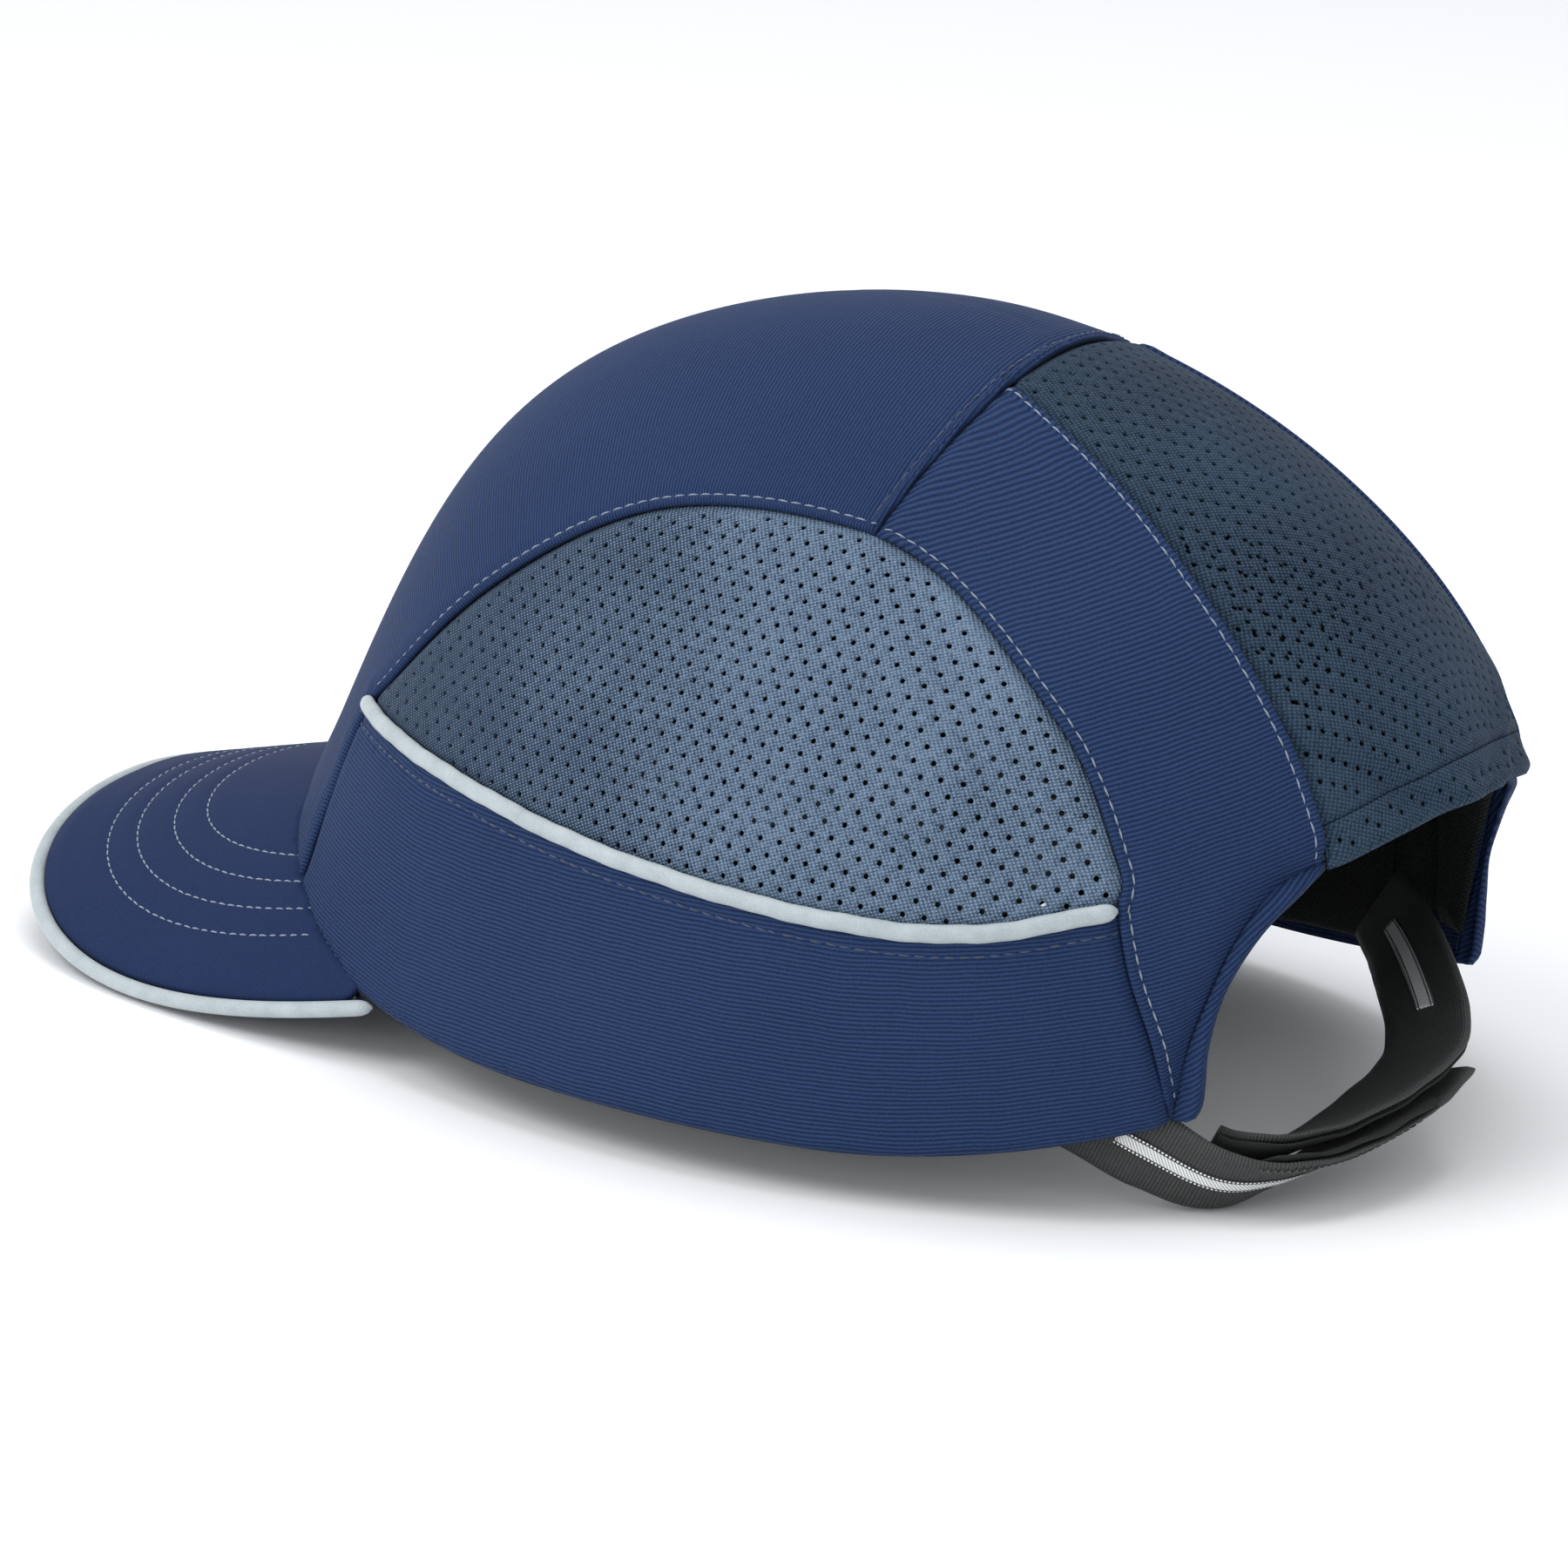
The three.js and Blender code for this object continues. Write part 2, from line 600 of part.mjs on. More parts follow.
addSolids(makeFabric(), (name) => (/mesh|hem/.test(name) ? 'mesh' : 'twill'));
addSolids({ shell: makeShell() }, () => 'shell');
addSolids(makePads(), () => 'foam');
addSolids({ sweatband: makeSweatband() }, () => 'lining');
addSolids(makeLinings(), () => 'lining');
addSolids(makePeak(), (name) => (name === 'peak_board' ? 'board' : 'twill'));
add('side_piping_left', makeSidePiping(1), 'piping');
add('side_piping_right', makeSidePiping(-1), 'piping');
add('peak_piping', makePeakPiping(), 'piping');
for (const [name, geometry] of Object.entries(makeStraps())) {
  add(name, geometry, name.startsWith('stripe') ? 'stripe' : 'webbing');
}

export default cap;
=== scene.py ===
"""Looks of the bump cap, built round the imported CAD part.

Cap coordinates are used throughout: millimetres, +Z up, the peak towards -Y, the wearer's left
towards +X, and the origin in the middle of the rim's lowest level. The fabric is one dome
surface, so its panels are cut from one triangulation of that surface in a flat chart: a point's
distance from the chart's middle is how far down the dome it lies.
"""
import math

import bpy
import numpy as np
from mathutils import Matrix, Vector
from mathutils.geometry import delaunay_2d_cdt

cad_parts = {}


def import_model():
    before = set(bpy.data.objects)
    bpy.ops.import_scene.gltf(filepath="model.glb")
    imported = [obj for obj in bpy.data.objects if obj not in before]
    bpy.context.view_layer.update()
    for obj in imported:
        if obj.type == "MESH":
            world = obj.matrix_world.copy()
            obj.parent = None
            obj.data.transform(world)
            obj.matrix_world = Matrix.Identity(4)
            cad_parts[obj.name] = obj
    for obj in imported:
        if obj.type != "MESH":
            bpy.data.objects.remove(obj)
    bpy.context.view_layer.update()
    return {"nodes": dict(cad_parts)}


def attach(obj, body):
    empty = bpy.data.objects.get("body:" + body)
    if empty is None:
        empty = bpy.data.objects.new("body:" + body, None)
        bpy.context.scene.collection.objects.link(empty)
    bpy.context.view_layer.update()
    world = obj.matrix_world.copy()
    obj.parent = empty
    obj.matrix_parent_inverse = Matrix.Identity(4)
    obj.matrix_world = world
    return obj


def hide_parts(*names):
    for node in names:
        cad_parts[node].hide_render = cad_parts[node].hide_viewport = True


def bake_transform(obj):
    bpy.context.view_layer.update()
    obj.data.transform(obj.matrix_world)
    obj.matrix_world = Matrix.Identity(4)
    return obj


MM = 0.001
CAP_ORIGIN = np.array([0, 30.7, 8.45])  # cap coordinates' origin in the row frame
QUARTER = math.pi / 2
CHART = 100.0  # chart radius of the dome's base
BATCH = 4000  # points whose distances are worked out at once

# ---------------------------------------------------------------- the dome

HALF_WIDTH = 84.5
FRONT_REACH = 128.0
REAR_REACH = 102.0
HEIGHT = 138.5
BASE = 13.0
FRONT_RISE = 0.885
SIDE_RISE = 0.965
REAR_RISE = 0.865


def swell(rise, low, high):
    """How much fuller a level is than an ellipsoid's, from a low and a high wave of the rise."""
    return 1 + low * np.sin(2 * rise) + high * np.sin(4 * rise)


def rise_power(angle):
    """How fast the dome climbs: below 1 it stands more upright than an ellipsoid at its base."""
    ahead = np.cos(angle)
    return np.where(ahead > 0, FRONT_RISE, REAR_RISE) * ahead**2 + SIDE_RISE * np.sin(angle) ** 2


def half_axes(rise):
    """Half width, front reach and rear reach of the dome's level at a rise."""
    side = HALF_WIDTH * swell(rise, 0.03, 0.018) * np.cos(rise)
    front = FRONT_REACH * swell(rise, -0.04, -0.057) * np.cos(rise)
    rear = REAR_REACH * swell(rise, 0.215, 0.016) * np.cos(rise)
    return side, front, rear


def dome(angle, rise):
    """Points of the dome. Angle 0 faces the peak, a quarter turn the wearer's left."""
    angle, rise = np.broadcast_arrays(np.asarray(angle, float), np.asarray(rise, float))
    side, front, rear = half_axes(rise)
    ahead = np.cos(angle)
    reach = np.where(ahead > 0, front, rear)
    z = HEIGHT * np.maximum(np.sin(rise), 0) ** rise_power(angle) - BASE
    return np.stack([side * np.sin(angle), -reach * ahead, z], -1)


def unit(v):
    return v / np.maximum(np.linalg.norm(v, axis=-1, keepdims=True), 1e-12)


def dome_normal(angle, rise):
    step = 0.01
    safe = np.clip(rise, 2 * step, QUARTER - 2 * step)
    along = dome(angle + step, safe) - dome(angle - step, safe)
    up = dome(angle, safe + step) - dome(angle, safe - step)
    return unit(np.cross(along, up))


def rise_at(angle, z):
    """Rise at which the dome has a height."""
    share = np.clip((z + BASE) / HEIGHT, 0, 1)
    return np.arcsin(share ** (1 / rise_power(angle)))


def bisect(low, high, too_low):
    """Per-element bisection: too_low says where the answer lies above the middle."""
    for _ in range(36):
        middle = (low + high) / 2
        under = too_low(middle)
        low = np.where(under, middle, low)
        high = np.where(under, high, middle)
    return (low + high) / 2


def to_chart(angle, rise):
    radius = CHART * (1 - rise / QUARTER)
    return np.stack([radius * np.sin(angle), -radius * np.cos(angle)], -1)


def from_chart(points):
    radius = np.hypot(points[:, 0], points[:, 1])
    return np.arctan2(points[:, 0], -points[:, 1]), QUARTER * (1 - radius / CHART)


def side_to_chart(points):
    """Chart places of side-view points (y, z) on the wearer's left."""
    y, z = np.asarray(points, float).T
    low = np.zeros_like(y)
    high = np.full_like(y, math.pi)
    angle = bisect(low, high, lambda a: dome(a, rise_at(a, z))[..., 1] < y)
    return to_chart(angle, rise_at(angle, z))


def rear_to_chart(points):
    """Chart places of rear-view points (x, z)."""
    x, z = np.asarray(points, float).T
    low = np.full_like(x, QUARTER)
    high = np.full_like(x, math.pi)
    angle = bisect(low, high, lambda a: dome(a, rise_at(a, z))[..., 0] > np.abs(x))
    return to_chart(np.where(x < 0, -1, 1) * angle, rise_at(angle, z))


def front_to_chart(points):
    """Chart places of front-view points (x, z)."""
    x, z = np.asarray(points, float).T
    low = np.zeros_like(x)
    high = np.full_like(x, QUARTER)
    angle = bisect(low, high, lambda a: dome(a, rise_at(a, z))[..., 0] < np.abs(x))
    return to_chart(np.where(x < 0, -1, 1) * angle, rise_at(angle, z))


def plan_to_chart(points):
    """Chart places of plan-view points (x, y)."""
    x, y = np.asarray(points, float).T

    def inside(rise):
        side, front, rear = half_axes(rise)
        return (x / side) ** 2 + (y / np.where(y < 0, front, rear)) ** 2 < 1

    rise = bisect(np.full_like(x, 0.01), np.full_like(x, QUARTER - 0.001), inside)
    side, front, rear = half_axes(rise)
    return to_chart(np.arctan2(x / side, -y / np.where(y < 0, front, rear)), rise)


# ---------------------------------------------------------------- seams

ARCH = [(-85, 49), (-57, 76), (-27, 94), (5, 98), (31, 92), (58, 71), (70, 52), (71, 45)]
PIPING = [(-85, 49), (-50, 46), (-14, 42), (25, 39), (50, 39.5), (71, 45)]
BAND_FRONT = [(-85, 49), (-89, 41), (-92.4, 30), (-97.5, 15), (-110, -8)]
BAND_REAR = [(71, 45), (74, 34), (78, 22), (80.5, 8), (82, -8)]
CROWN_SEAM_Y = 25.5
CROWN_SEAM_FORWARD = 9.0
CROWN_SEAM_HALF = 52.0
REAR_SEAM = [(19, 15), (21.7, 24), (25.8, 38), (29.7, 53), (33.7, 68.5), (36, 82), (37, 94)]
REAR_SEAM_FOOT = (37, 51)
OPENING_EDGE = [(55, -8), (53, 10), (53.3, 22), (51.5, 32), (47, 41), (41, 47.5), (37, 51)]
OPENING_FOLD = [(58.5, -8), (56.2, 10), (56, 18), (54.6, 27), (50.7, 39), (44.5, 48.5), (37, 52.5)]
HEM_HEIGHT = 58.0
HEM_DROP = 7.0
HEM_HALF = 37.0
HEM_DEPTH = 7.0
RIM_FLAT = 25.0
RIM_RISE_REAR = 15.8
RIM_RISE_FRONT = 10.5
RIM_RISE_LENGTH = 75.0

PEAK_RADIUS = 95.0
PEAK_FALL = 0.25
PEAK_CREST = 21.7
PEAK_HALF = 71.3
PEAK_TIP = 168.7
PEAK_REAR = 60.0
PEAK_SLANT = math.atan(PEAK_FALL)


def spline(points, count):
    """Evenly spaced points on a Catmull-Rom curve through the given points, of any dimension."""
    p = np.asarray(points, float)
    ends = np.vstack([2 * p[0] - p[1], p, 2 * p[-1] - p[-2]])
    fine = []
    for a, b, c, d in zip(ends, ends[1:], ends[2:], ends[3:]):
        t = np.linspace(0, 1, 40, endpoint=False)[:, None]
        fine.append(
            0.5 * (2 * b + (c - a) * t + (2 * a - 5 * b + 4 * c - d) * t**2 + (3 * b - a - 3 * c + d) * t**3)
        )
    return resample(np.vstack([*fine, p[-1:]]), count)


def walk_along(line):
    """Distance walked from a polyline's start to each of its points."""
    return np.concatenate([[0], np.cumsum(np.linalg.norm(np.diff(line, axis=0), axis=1))])


def places_at(walk, line, at):
    """Points of a polyline, or of what goes with it, at distances along it."""
    return np.stack([np.interp(at, walk, line[:, k]) for k in range(line.shape[1])], -1)


def resample(line, count):
    walk = walk_along(line)
    return places_at(walk, line, np.linspace(0, walk[-1], count))


def flipped(chart_line):
    return chart_line * [-1, 1]


def rim_height(y):
    """The rim is level in the middle and rises to the front and to the rear."""
    past = np.maximum(np.abs(y) - RIM_FLAT, 0) / RIM_RISE_LENGTH
    return np.where(y > 0, RIM_RISE_REAR, RIM_RISE_FRONT) * past**2


def hem_height(x):
    return HEM_HEIGHT - HEM_DROP * (x / HEM_HALF) ** 2


def peak_height(x, y):
    """Height of the peak's top, part of a leaning cylinder, at plan places."""
    crest = PEAK_CREST + PEAK_FALL * (y + FRONT_REACH) - PEAK_RADIUS / math.cos(PEAK_SLANT)
    bow = np.sqrt(np.maximum(PEAK_RADIUS**2 - x**2, 0))
    return crest + bow / math.cos(PEAK_SLANT)


def peak_outline(inset, half, tip, rear, squareness, count):
    """Plan points of a rounded peak's edge, from one rear corner round its tip to the other."""
    turn = np.linspace(-QUARTER, QUARTER, count)
    across = np.sign(np.sin(turn)) * np.abs(np.sin(turn)) ** (2 / squareness)
    ahead = np.abs(np.cos(turn)) ** (2 / squareness)
    return np.stack([(half - inset) * across, -rear - (tip - inset - rear) * ahead], -1)


def peak_junction(depth, count=120):
    """Angles and rises where the crown meets the peak's top surface, lowered by depth."""
    angle = np.linspace(-1.25, 1.25, count)

    def below(rise):
        p = dome(angle, rise)
        return p[:, 2] < peak_height(p[:, 0], p[:, 1]) - depth

    return angle, bisect(np.full(count, 0.02), np.full(count, 0.9), below)


def lower_edge():
    """Closed chart line round the cap: the rim, or the peak's junction where that is higher."""
    angle = np.linspace(-math.pi, math.pi, 361)[:-1]

    def below_rim(rise):
        p = dome(angle, rise)
        return p[:, 2] < rim_height(p[:, 1])

    rim = bisect(np.full(angle.shape, 0.001), np.full(angle.shape, 0.6), below_rim)
    at, joint = peak_junction(1.2)
    joint = np.interp(angle, at, joint, left=0, right=0)
    ahead = dome(angle, rim)[:, 1] < -62
    return to_chart(angle, np.where(ahead, np.maximum(rim, joint), rim))


def seam_lines():
    """Every seam as a chart line, by name; _left lines are repeated on the right."""
    x = np.linspace(-CROWN_SEAM_HALF, CROWN_SEAM_HALF, 70)
    crown = plan_to_chart(np.stack([x, CROWN_SEAM_Y - CROWN_SEAM_FORWARD * (x / CROWN_SEAM_HALF) ** 2], -1))
    hem_x = np.linspace(HEM_HALF, -HEM_HALF, 46)
    hem = rear_to_chart(np.stack([hem_x, hem_height(hem_x)], -1))
    fold = rear_to_chart(np.stack([hem_x * 0.985, hem_height(hem_x) + HEM_DEPTH], -1))
    rear = np.vstack([plan_to_chart(spline(REAR_SEAM, 60)), rear_to_chart([REAR_SEAM_FOOT])])
    left = {
        "arch": side_to_chart(spline(ARCH, 130)),
        "piping": side_to_chart(spline(PIPING, 90)),
        "band_front": side_to_chart(spline(BAND_FRONT, 40)),
        "band_rear": side_to_chart(spline(BAND_REAR, 36)),
        "rear_seam": resample(rear, 80),
        "opening": rear_to_chart(spline(OPENING_EDGE, 50)),
        "fold": rear_to_chart(spline(OPENING_FOLD, 50)),
    }
    lines = {"crown_seam": crown, "hem": hem, "hem_fold": fold, "rim": lower_edge()}
    for name, line in left.items():
        lines[f"{name}_left"] = line
        lines[f"{name}_right"] = flipped(line)
    return lines


def inside(points, polygon):
    """Which points lie inside a closed polygon."""
    x, y = points[:, :1], points[:, 1:]
    ax, ay = polygon[:, 0], polygon[:, 1]
    bx, by = np.roll(ax, -1), np.roll(ay, -1)
    crosses = (ay > y) != (by > y)
    with np.errstate(divide="ignore", invalid="ignore"):
        hits = crosses & (x < ax + (y - ay) * (bx - ax) / (by - ay))
    return hits.sum(axis=1) % 2 == 1


# ---------------------------------------------------------------- triangulation


def on_dome(chart, offset=0.0):
    """Cap points of chart places, moved out along the dome's normal."""
    angle, rise = from_chart(np.asarray(chart, float))
    offset = np.broadcast_to(offset, angle.shape)
    return dome(angle, rise) + dome_normal(angle, rise) * offset[:, None]


def batches(points):
    return [points[start : start + BATCH, None] for start in range(0, len(points), BATCH)]


def distance(points, line, closed=False):
    """Distance in mm from cap points to a cap polyline."""
    a = line if closed else line[:-1]
    d = (np.roll(line, -1, axis=0) if closed else line[1:]) - a
    gaps = [np.empty(0)]
    for p in batches(points):
        t = np.clip(((p - a) * d).sum(-1) / np.maximum((d * d).sum(-1), 1e-9), 0, 1)
        gaps.append(np.linalg.norm(a + d * t[..., None] - p, axis=-1).min(axis=1))
    return np.concatenate(gaps)


def nearest(points, others):
    """Distance in mm from each cap point to the nearest of the others."""
    return np.concatenate([np.linalg.norm(p - others, axis=-1).min(axis=1) for p in batches(points)])


def beside(chart_line, shift):
    """The chart line moved sideways over the dome by shift mm, to its left seen from outside."""
    angle, rise = from_chart(chart_line)
    points = dome(angle, rise)
    along = unit(np.gradient(points, axis=0))
    side = np.cross(dome_normal(angle, rise), along)
    step = 0.002
    wide = (dome(angle + step, rise) - points) / step
    up = (dome(angle, rise + step) - points) / step
    turn = (side * wide).sum(-1) / (wide * wide).sum(-1)
    lift = (side * up).sum(-1) / (up * up).sum(-1)
    return to_chart(angle + turn * shift, rise + lift * shift)


def triangulate(lines, loose, closed=()):
    """Triangles over the chart that follow each line and also use the loose points."""
    points, edges = [], []
    for name, line in lines.items():
        first = len(points)
        points.extend(map(tuple, line))
        edges.extend((first + k, first + k + 1) for k in range(len(line) - 1))
        if name in closed:
            edges.append((len(points) - 1, first))
    points.extend(map(tuple, loose))
    found = delaunay_2d_cdt([Vector(p) for p in points], edges, [], 0, 1e-5)
    triangles = [tuple(face) for face in found[2] if len(face) == 3]
    return np.array([tuple(point) for point in found[0]]), np.array(triangles)


def hexagonal(reach, spacing):
    """Chart points in rows, each row shifted by half a spacing, within a circle."""
    rows = np.arange(-reach, reach, spacing * 0.866)
    points = []
    for k, v in enumerate(rows):
        u = np.arange(-reach, reach, spacing) + (k % 2) * spacing / 2
        points.append(np.stack([u, np.full_like(u, v)], -1))
    grid = np.vstack(points)
    return grid[np.hypot(*grid.T) < reach]


def clear_of(points, lines, gap):
    """The chart points that are at least gap mm from every line."""
    places = on_dome(points)
    keep = np.ones(len(points), bool)
    for line in lines:
        keep[keep] = distance(places[keep], on_dome(line)) > gap
    return points[keep]


# ---------------------------------------------------------------- meshes


def make_object(name, points, faces, uv):
    """Smooth object from cap points in mm. uv gives each point's place on the cloth, in mm."""
    mesh = bpy.data.meshes.new(name)
    places = (np.asarray(points) + CAP_ORIGIN) * MM
    mesh.from_pydata(places.tolist(), [], [list(map(int, face)) for face in faces])
    corner = np.zeros(len(mesh.loops), int)
    mesh.loops.foreach_get("vertex_index", corner)
    layer = mesh.uv_layers.new(name="cloth")
    layer.data.foreach_set("uv", np.asarray(uv, float)[corner].ravel())
    mesh.polygons.foreach_set("use_smooth", [True] * len(mesh.polygons))
    mesh.validate()
    obj = bpy.data.objects.new(name, mesh)
    bpy.context.scene.collection.objects.link(obj)
    return obj


def rim_edges(faces):
    """The directed edges that only one triangle has."""
    edges = np.vstack([faces[:, [0, 1]], faces[:, [1, 2]], faces[:, [2, 0]]])
    count = int(faces.max()) + 1
    key = edges[:, 0] * count + edges[:, 1]
    back = edges[:, 1] * count + edges[:, 0]
    return edges[~np.isin(key, back)]


def used_only(faces, *arrays):
    """Faces renumbered to the points they use, and each array cut to those points."""
    used, faces_new = np.unique(faces, return_inverse=True)
    return faces_new.reshape(faces.shape), [a[used] for a in arrays]


def closed_sheet(name, base, normal, faces, outer, inner, uv):
    """Closed cloth from the triangles of a base surface, between two offsets along its normals.

    The triangles face outwards. Walls close it round its rim and its holes.
    """
    count = len(base)
    walls = [(i + count, j + count, j, i) for i, j in rim_edges(faces)]
    layers = [base + normal * outer[:, None], base + normal * inner[:, None]]
    all_faces = [*faces.tolist(), *(faces[:, ::-1] + count).tolist(), *walls]
    return make_object(name, np.vstack(layers), all_faces, np.vstack([uv, uv]))


def dome_sheet(name, chart, faces, outer, inner, uv):
    """Closed cloth between two offsets from the dome."""
    angle, rise = from_chart(chart)
    return closed_sheet(name, dome(angle, rise), dome_normal(angle, rise), faces, outer, inner, uv)


def skin(rings, sides, first=0):
    """Faces of a closed tube of rings of points. Seen along the tube, each ring runs clockwise."""
    faces = []
    for start in range(first, first + (rings - 1) * sides, sides):
        for s in range(sides):
            a, b = start + s, start + (s + 1) % sides
            faces.append((a, b, b + sides, a + sides))
    last = first + (rings - 1) * sides
    faces.append(tuple(range(first + sides - 1, first - 1, -1)))
    faces.append(tuple(range(last, last + sides)))
    return faces


def dress(obj, node, material):
    """Puts a finished piece in the place of a CAD node of the cap."""
    obj.data.materials.append(material)
    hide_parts(node)
    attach(obj, "cap")


# ---------------------------------------------------------------- materials


class Nodes:
    """A material's node tree, with short calls for the nodes used here."""

    def __init__(self, name, roughness, sheen=0.0, sheen_roughness=0.5, specular=0.5):
        self.material = bpy.data.materials.new(name)
        self.material.use_nodes = True
        self.tree = self.material.node_tree
        self.shader = self.tree.nodes["Principled BSDF"]
        self.shader.inputs["Roughness"].default_value = roughness
        self.shader.inputs["Sheen Weight"].default_value = sheen
        self.shader.inputs["Sheen Roughness"].default_value = sheen_roughness
        self.shader.inputs["Specular IOR Level"].default_value = specular

    def put(self, kind, **inputs):
        node = self.tree.nodes.new(kind)
        for name, value in inputs.items():
            self.join(value, node.inputs[name.replace("_", " ")])
        return node

    def join(self, value, socket):
        if isinstance(value, bpy.types.NodeSocket):
            self.tree.links.new(value, socket)
        else:
            socket.default_value = value

    def math(self, operation, a, b=0.0, c=0.0):
        node = self.tree.nodes.new("ShaderNodeMath")
        node.operation = operation
        for value, socket in zip((a, b, c), node.inputs):
            self.join(value, socket)
        return node.outputs[0]

    def cloth(self):
        """The two cloth coordinates, in mm."""
        uv = self.tree.nodes.new("ShaderNodeUVMap")
        uv.uv_map = "cloth"
        split = self.put("ShaderNodeSeparateXYZ", Vector=uv.outputs[0])
        return split.outputs[0], split.outputs[1]

    def place(self):
        """Place on the object, in mm."""
        where = self.tree.nodes.new("ShaderNodeTexCoord")
        scale = self.tree.nodes.new("ShaderNodeVectorMath")
        scale.operation = "SCALE"
        self.tree.links.new(where.outputs["Object"], scale.inputs[0])
        scale.inputs["Scale"].default_value = 1 / MM
        return scale.outputs[0]

    def noise(self, where, scale, detail=2.0):
        return self.put("ShaderNodeTexNoise", Vector=where, Scale=scale, Detail=detail).outputs[0]

    def waves(self, coordinate, pitch):
        """0 to 1 and back once in each pitch."""
        turn = self.math("MULTIPLY", coordinate, 2 * math.pi / pitch)
        return self.math("MULTIPLY_ADD", self.math("SINE", turn), 0.5, 0.5)

    def blend(self, share, a, b):
        node = self.tree.nodes.new("ShaderNodeMix")
        node.data_type = "RGBA"
        self.join(share, node.inputs["Factor"])
        self.join((*a, 1) if isinstance(a, tuple) else a, node.inputs[6])
        self.join((*b, 1) if isinstance(b, tuple) else b, node.inputs[7])
        return node.outputs[2]

    def range(self, value, low, high, to_low=0.0, to_high=1.0):
        node = self.tree.nodes.new("ShaderNodeMapRange")
        for item, socket in zip((value, low, high, to_low, to_high), node.inputs):
            self.join(item, socket)
        return node.outputs[0]

    def finish(self, colour, height=None, depth_mm=0.1):
        self.join(colour, self.shader.inputs["Base Color"])
        if height is not None:
            bump = self.put("ShaderNodeBump", Height=height, Strength=1.0, Distance=depth_mm * MM)
            self.tree.links.new(bump.outputs[0], self.shader.inputs["Normal"])
        return self.material


def twill(name, dark, light, pitch=0.74, depth_mm=0.09):
    """Ribbed cloth: fine raised ribs, thread flecks along them and slow shade changes."""
    n = Nodes(name, 0.62, sheen=0.03, sheen_roughness=0.4, specular=0.05)
    along, across = n.cloth()
    where = n.place()
    sway = n.math("MULTIPLY", n.noise(where, 0.09), 0.9)
    rib = n.waves(n.math("ADD", across, sway), pitch)
    thread = n.waves(n.math("MULTIPLY_ADD", across, 0.6, along), 0.42)
    fleck = n.noise(where, 2.4, 3.0)
    shade = n.math("MULTIPLY_ADD", rib, 0.62, n.math("MULTIPLY", fleck, 0.5))
    shade = n.math("ADD", shade, n.math("MULTIPLY", n.noise(where, 0.03), 0.16))
    height = n.math("ADD", rib, n.math("MULTIPLY", thread, 0.25))
    return n.finish(n.blend(n.range(shade, 0.15, 1.15), dark, light), height, depth_mm)


def knit(name, dark, light, painted_front_shade):
    """Knitted mesh: small loops in rows. Painted shade darkens it towards the front of the cap, by as much
    as the last argument.
    """
    n = Nodes(name, 0.7, sheen=0.02, specular=0.1)
    along, across = n.cloth()
    where = n.place()
    column = n.waves(n.math("MULTIPLY_ADD", across, 0.5, along), 0.74)
    row = n.waves(n.math("MULTIPLY_ADD", along, -0.5, across), 0.66)
    loop = n.math("MULTIPLY", column, row)
    fleck = n.noise(where, 1.9, 3.0)
    shade = n.math("ADD", n.math("MULTIPLY", loop, 0.6), n.math("MULTIPLY", fleck, 0.62))
    shade = n.math("ADD", shade, n.math("MULTIPLY", n.noise(where, 0.035), 0.25))
    # Painted shade: the knit darkens from the rear towards the front of the cap.
    back = n.put("ShaderNodeSeparateXYZ", Vector=where).outputs[1]
    shade = n.math("SUBTRACT", shade, n.range(back, 45, -50, 0, painted_front_shade))
    height = n.math("ADD", loop, n.math("MULTIPLY", fleck, 0.6))
    return n.finish(n.blend(n.range(shade, 0.30, 0.88), dark, light), height, 0.18)


def webbing(name, dark, light):
    """Woven tape with a rib across it at every pick."""
    pitch = 0.62
    n = Nodes(name, 0.6)
    along, across = n.cloth()
    rib = n.waves(n.math("ADD", along, n.math("MULTIPLY", n.noise(n.place(), 0.5), 0.25)), pitch)
    thread = n.waves(across, 0.5)
    fleck = n.noise(n.place(), 3.0, 2.0)
    shade = n.math("ADD", n.math("MULTIPLY", rib, 0.5), n.math("MULTIPLY", fleck, 0.6))
    height = n.math("ADD", rib, n.math("MULTIPLY", thread, 0.35))
    return n.finish(n.blend(n.range(shade, 0.2, 0.9), dark, light), height, 0.12)


def silver_stripe(name):
    """Reflective stripe: a bright middle of slanted threads between two rows of dots."""
    n = Nodes(name, 0.4)
    along, across = n.cloth()
    off = n.math("ABSOLUTE", across)
    middle = n.math("LESS_THAN", off, 0.95)
    slant = n.range(n.waves(n.math("MULTIPLY_ADD", across, 0.9, along), 0.66), 0.12, 0.5)
    ring = n.math("LESS_THAN", n.math("ABSOLUTE", n.math("SUBTRACT", off, 1.32)), 0.16)
    dots = n.math("MULTIPLY", ring, n.math("GREATER_THAN", n.waves(along, 0.7), 0.45))
    lit = n.math("MAXIMUM", n.math("MULTIPLY", middle, n.math("MULTIPLY_ADD", slant, 0.55, 0.45)), dots)
    return n.finish(n.blend(lit, (0.012, 0.014, 0.014), (0.84, 0.86, 0.86)), lit, 0.1)


def reflective_piping(name):
    """Silver tape with fine glass beads and soft scuffs."""
    n = Nodes(name, 0.5, sheen=0.3)
    where = n.place()
    beads = n.noise(where, 4.5, 2.0)
    scuff = n.noise(where, 0.25, 3.0)
    shade = n.math("ADD", n.math("MULTIPLY", beads, 0.7), n.math("MULTIPLY", scuff, 0.5))
    colour = n.blend(n.range(shade, 0.35, 0.85), (0.26, 0.31, 0.33), (0.44, 0.49, 0.51))
    return n.finish(colour, beads, 0.05)


def grainy(name, dark, light, roughness, scale, depth_mm):
    """Plain surface with fine grain: foam, moulded plastic, fuzzy tape."""
    n = Nodes(name, roughness)
    where = n.place()
    grain = n.noise(where, scale, 4.0)
    cloud = n.noise(where, 0.06, 2.0)
    shade = n.math("ADD", n.math("MULTIPLY", grain, 0.6), n.math("MULTIPLY", cloud, 0.4))
    return n.finish(n.blend(n.range(shade, 0.3, 0.7), dark, light), grain, depth_mm)


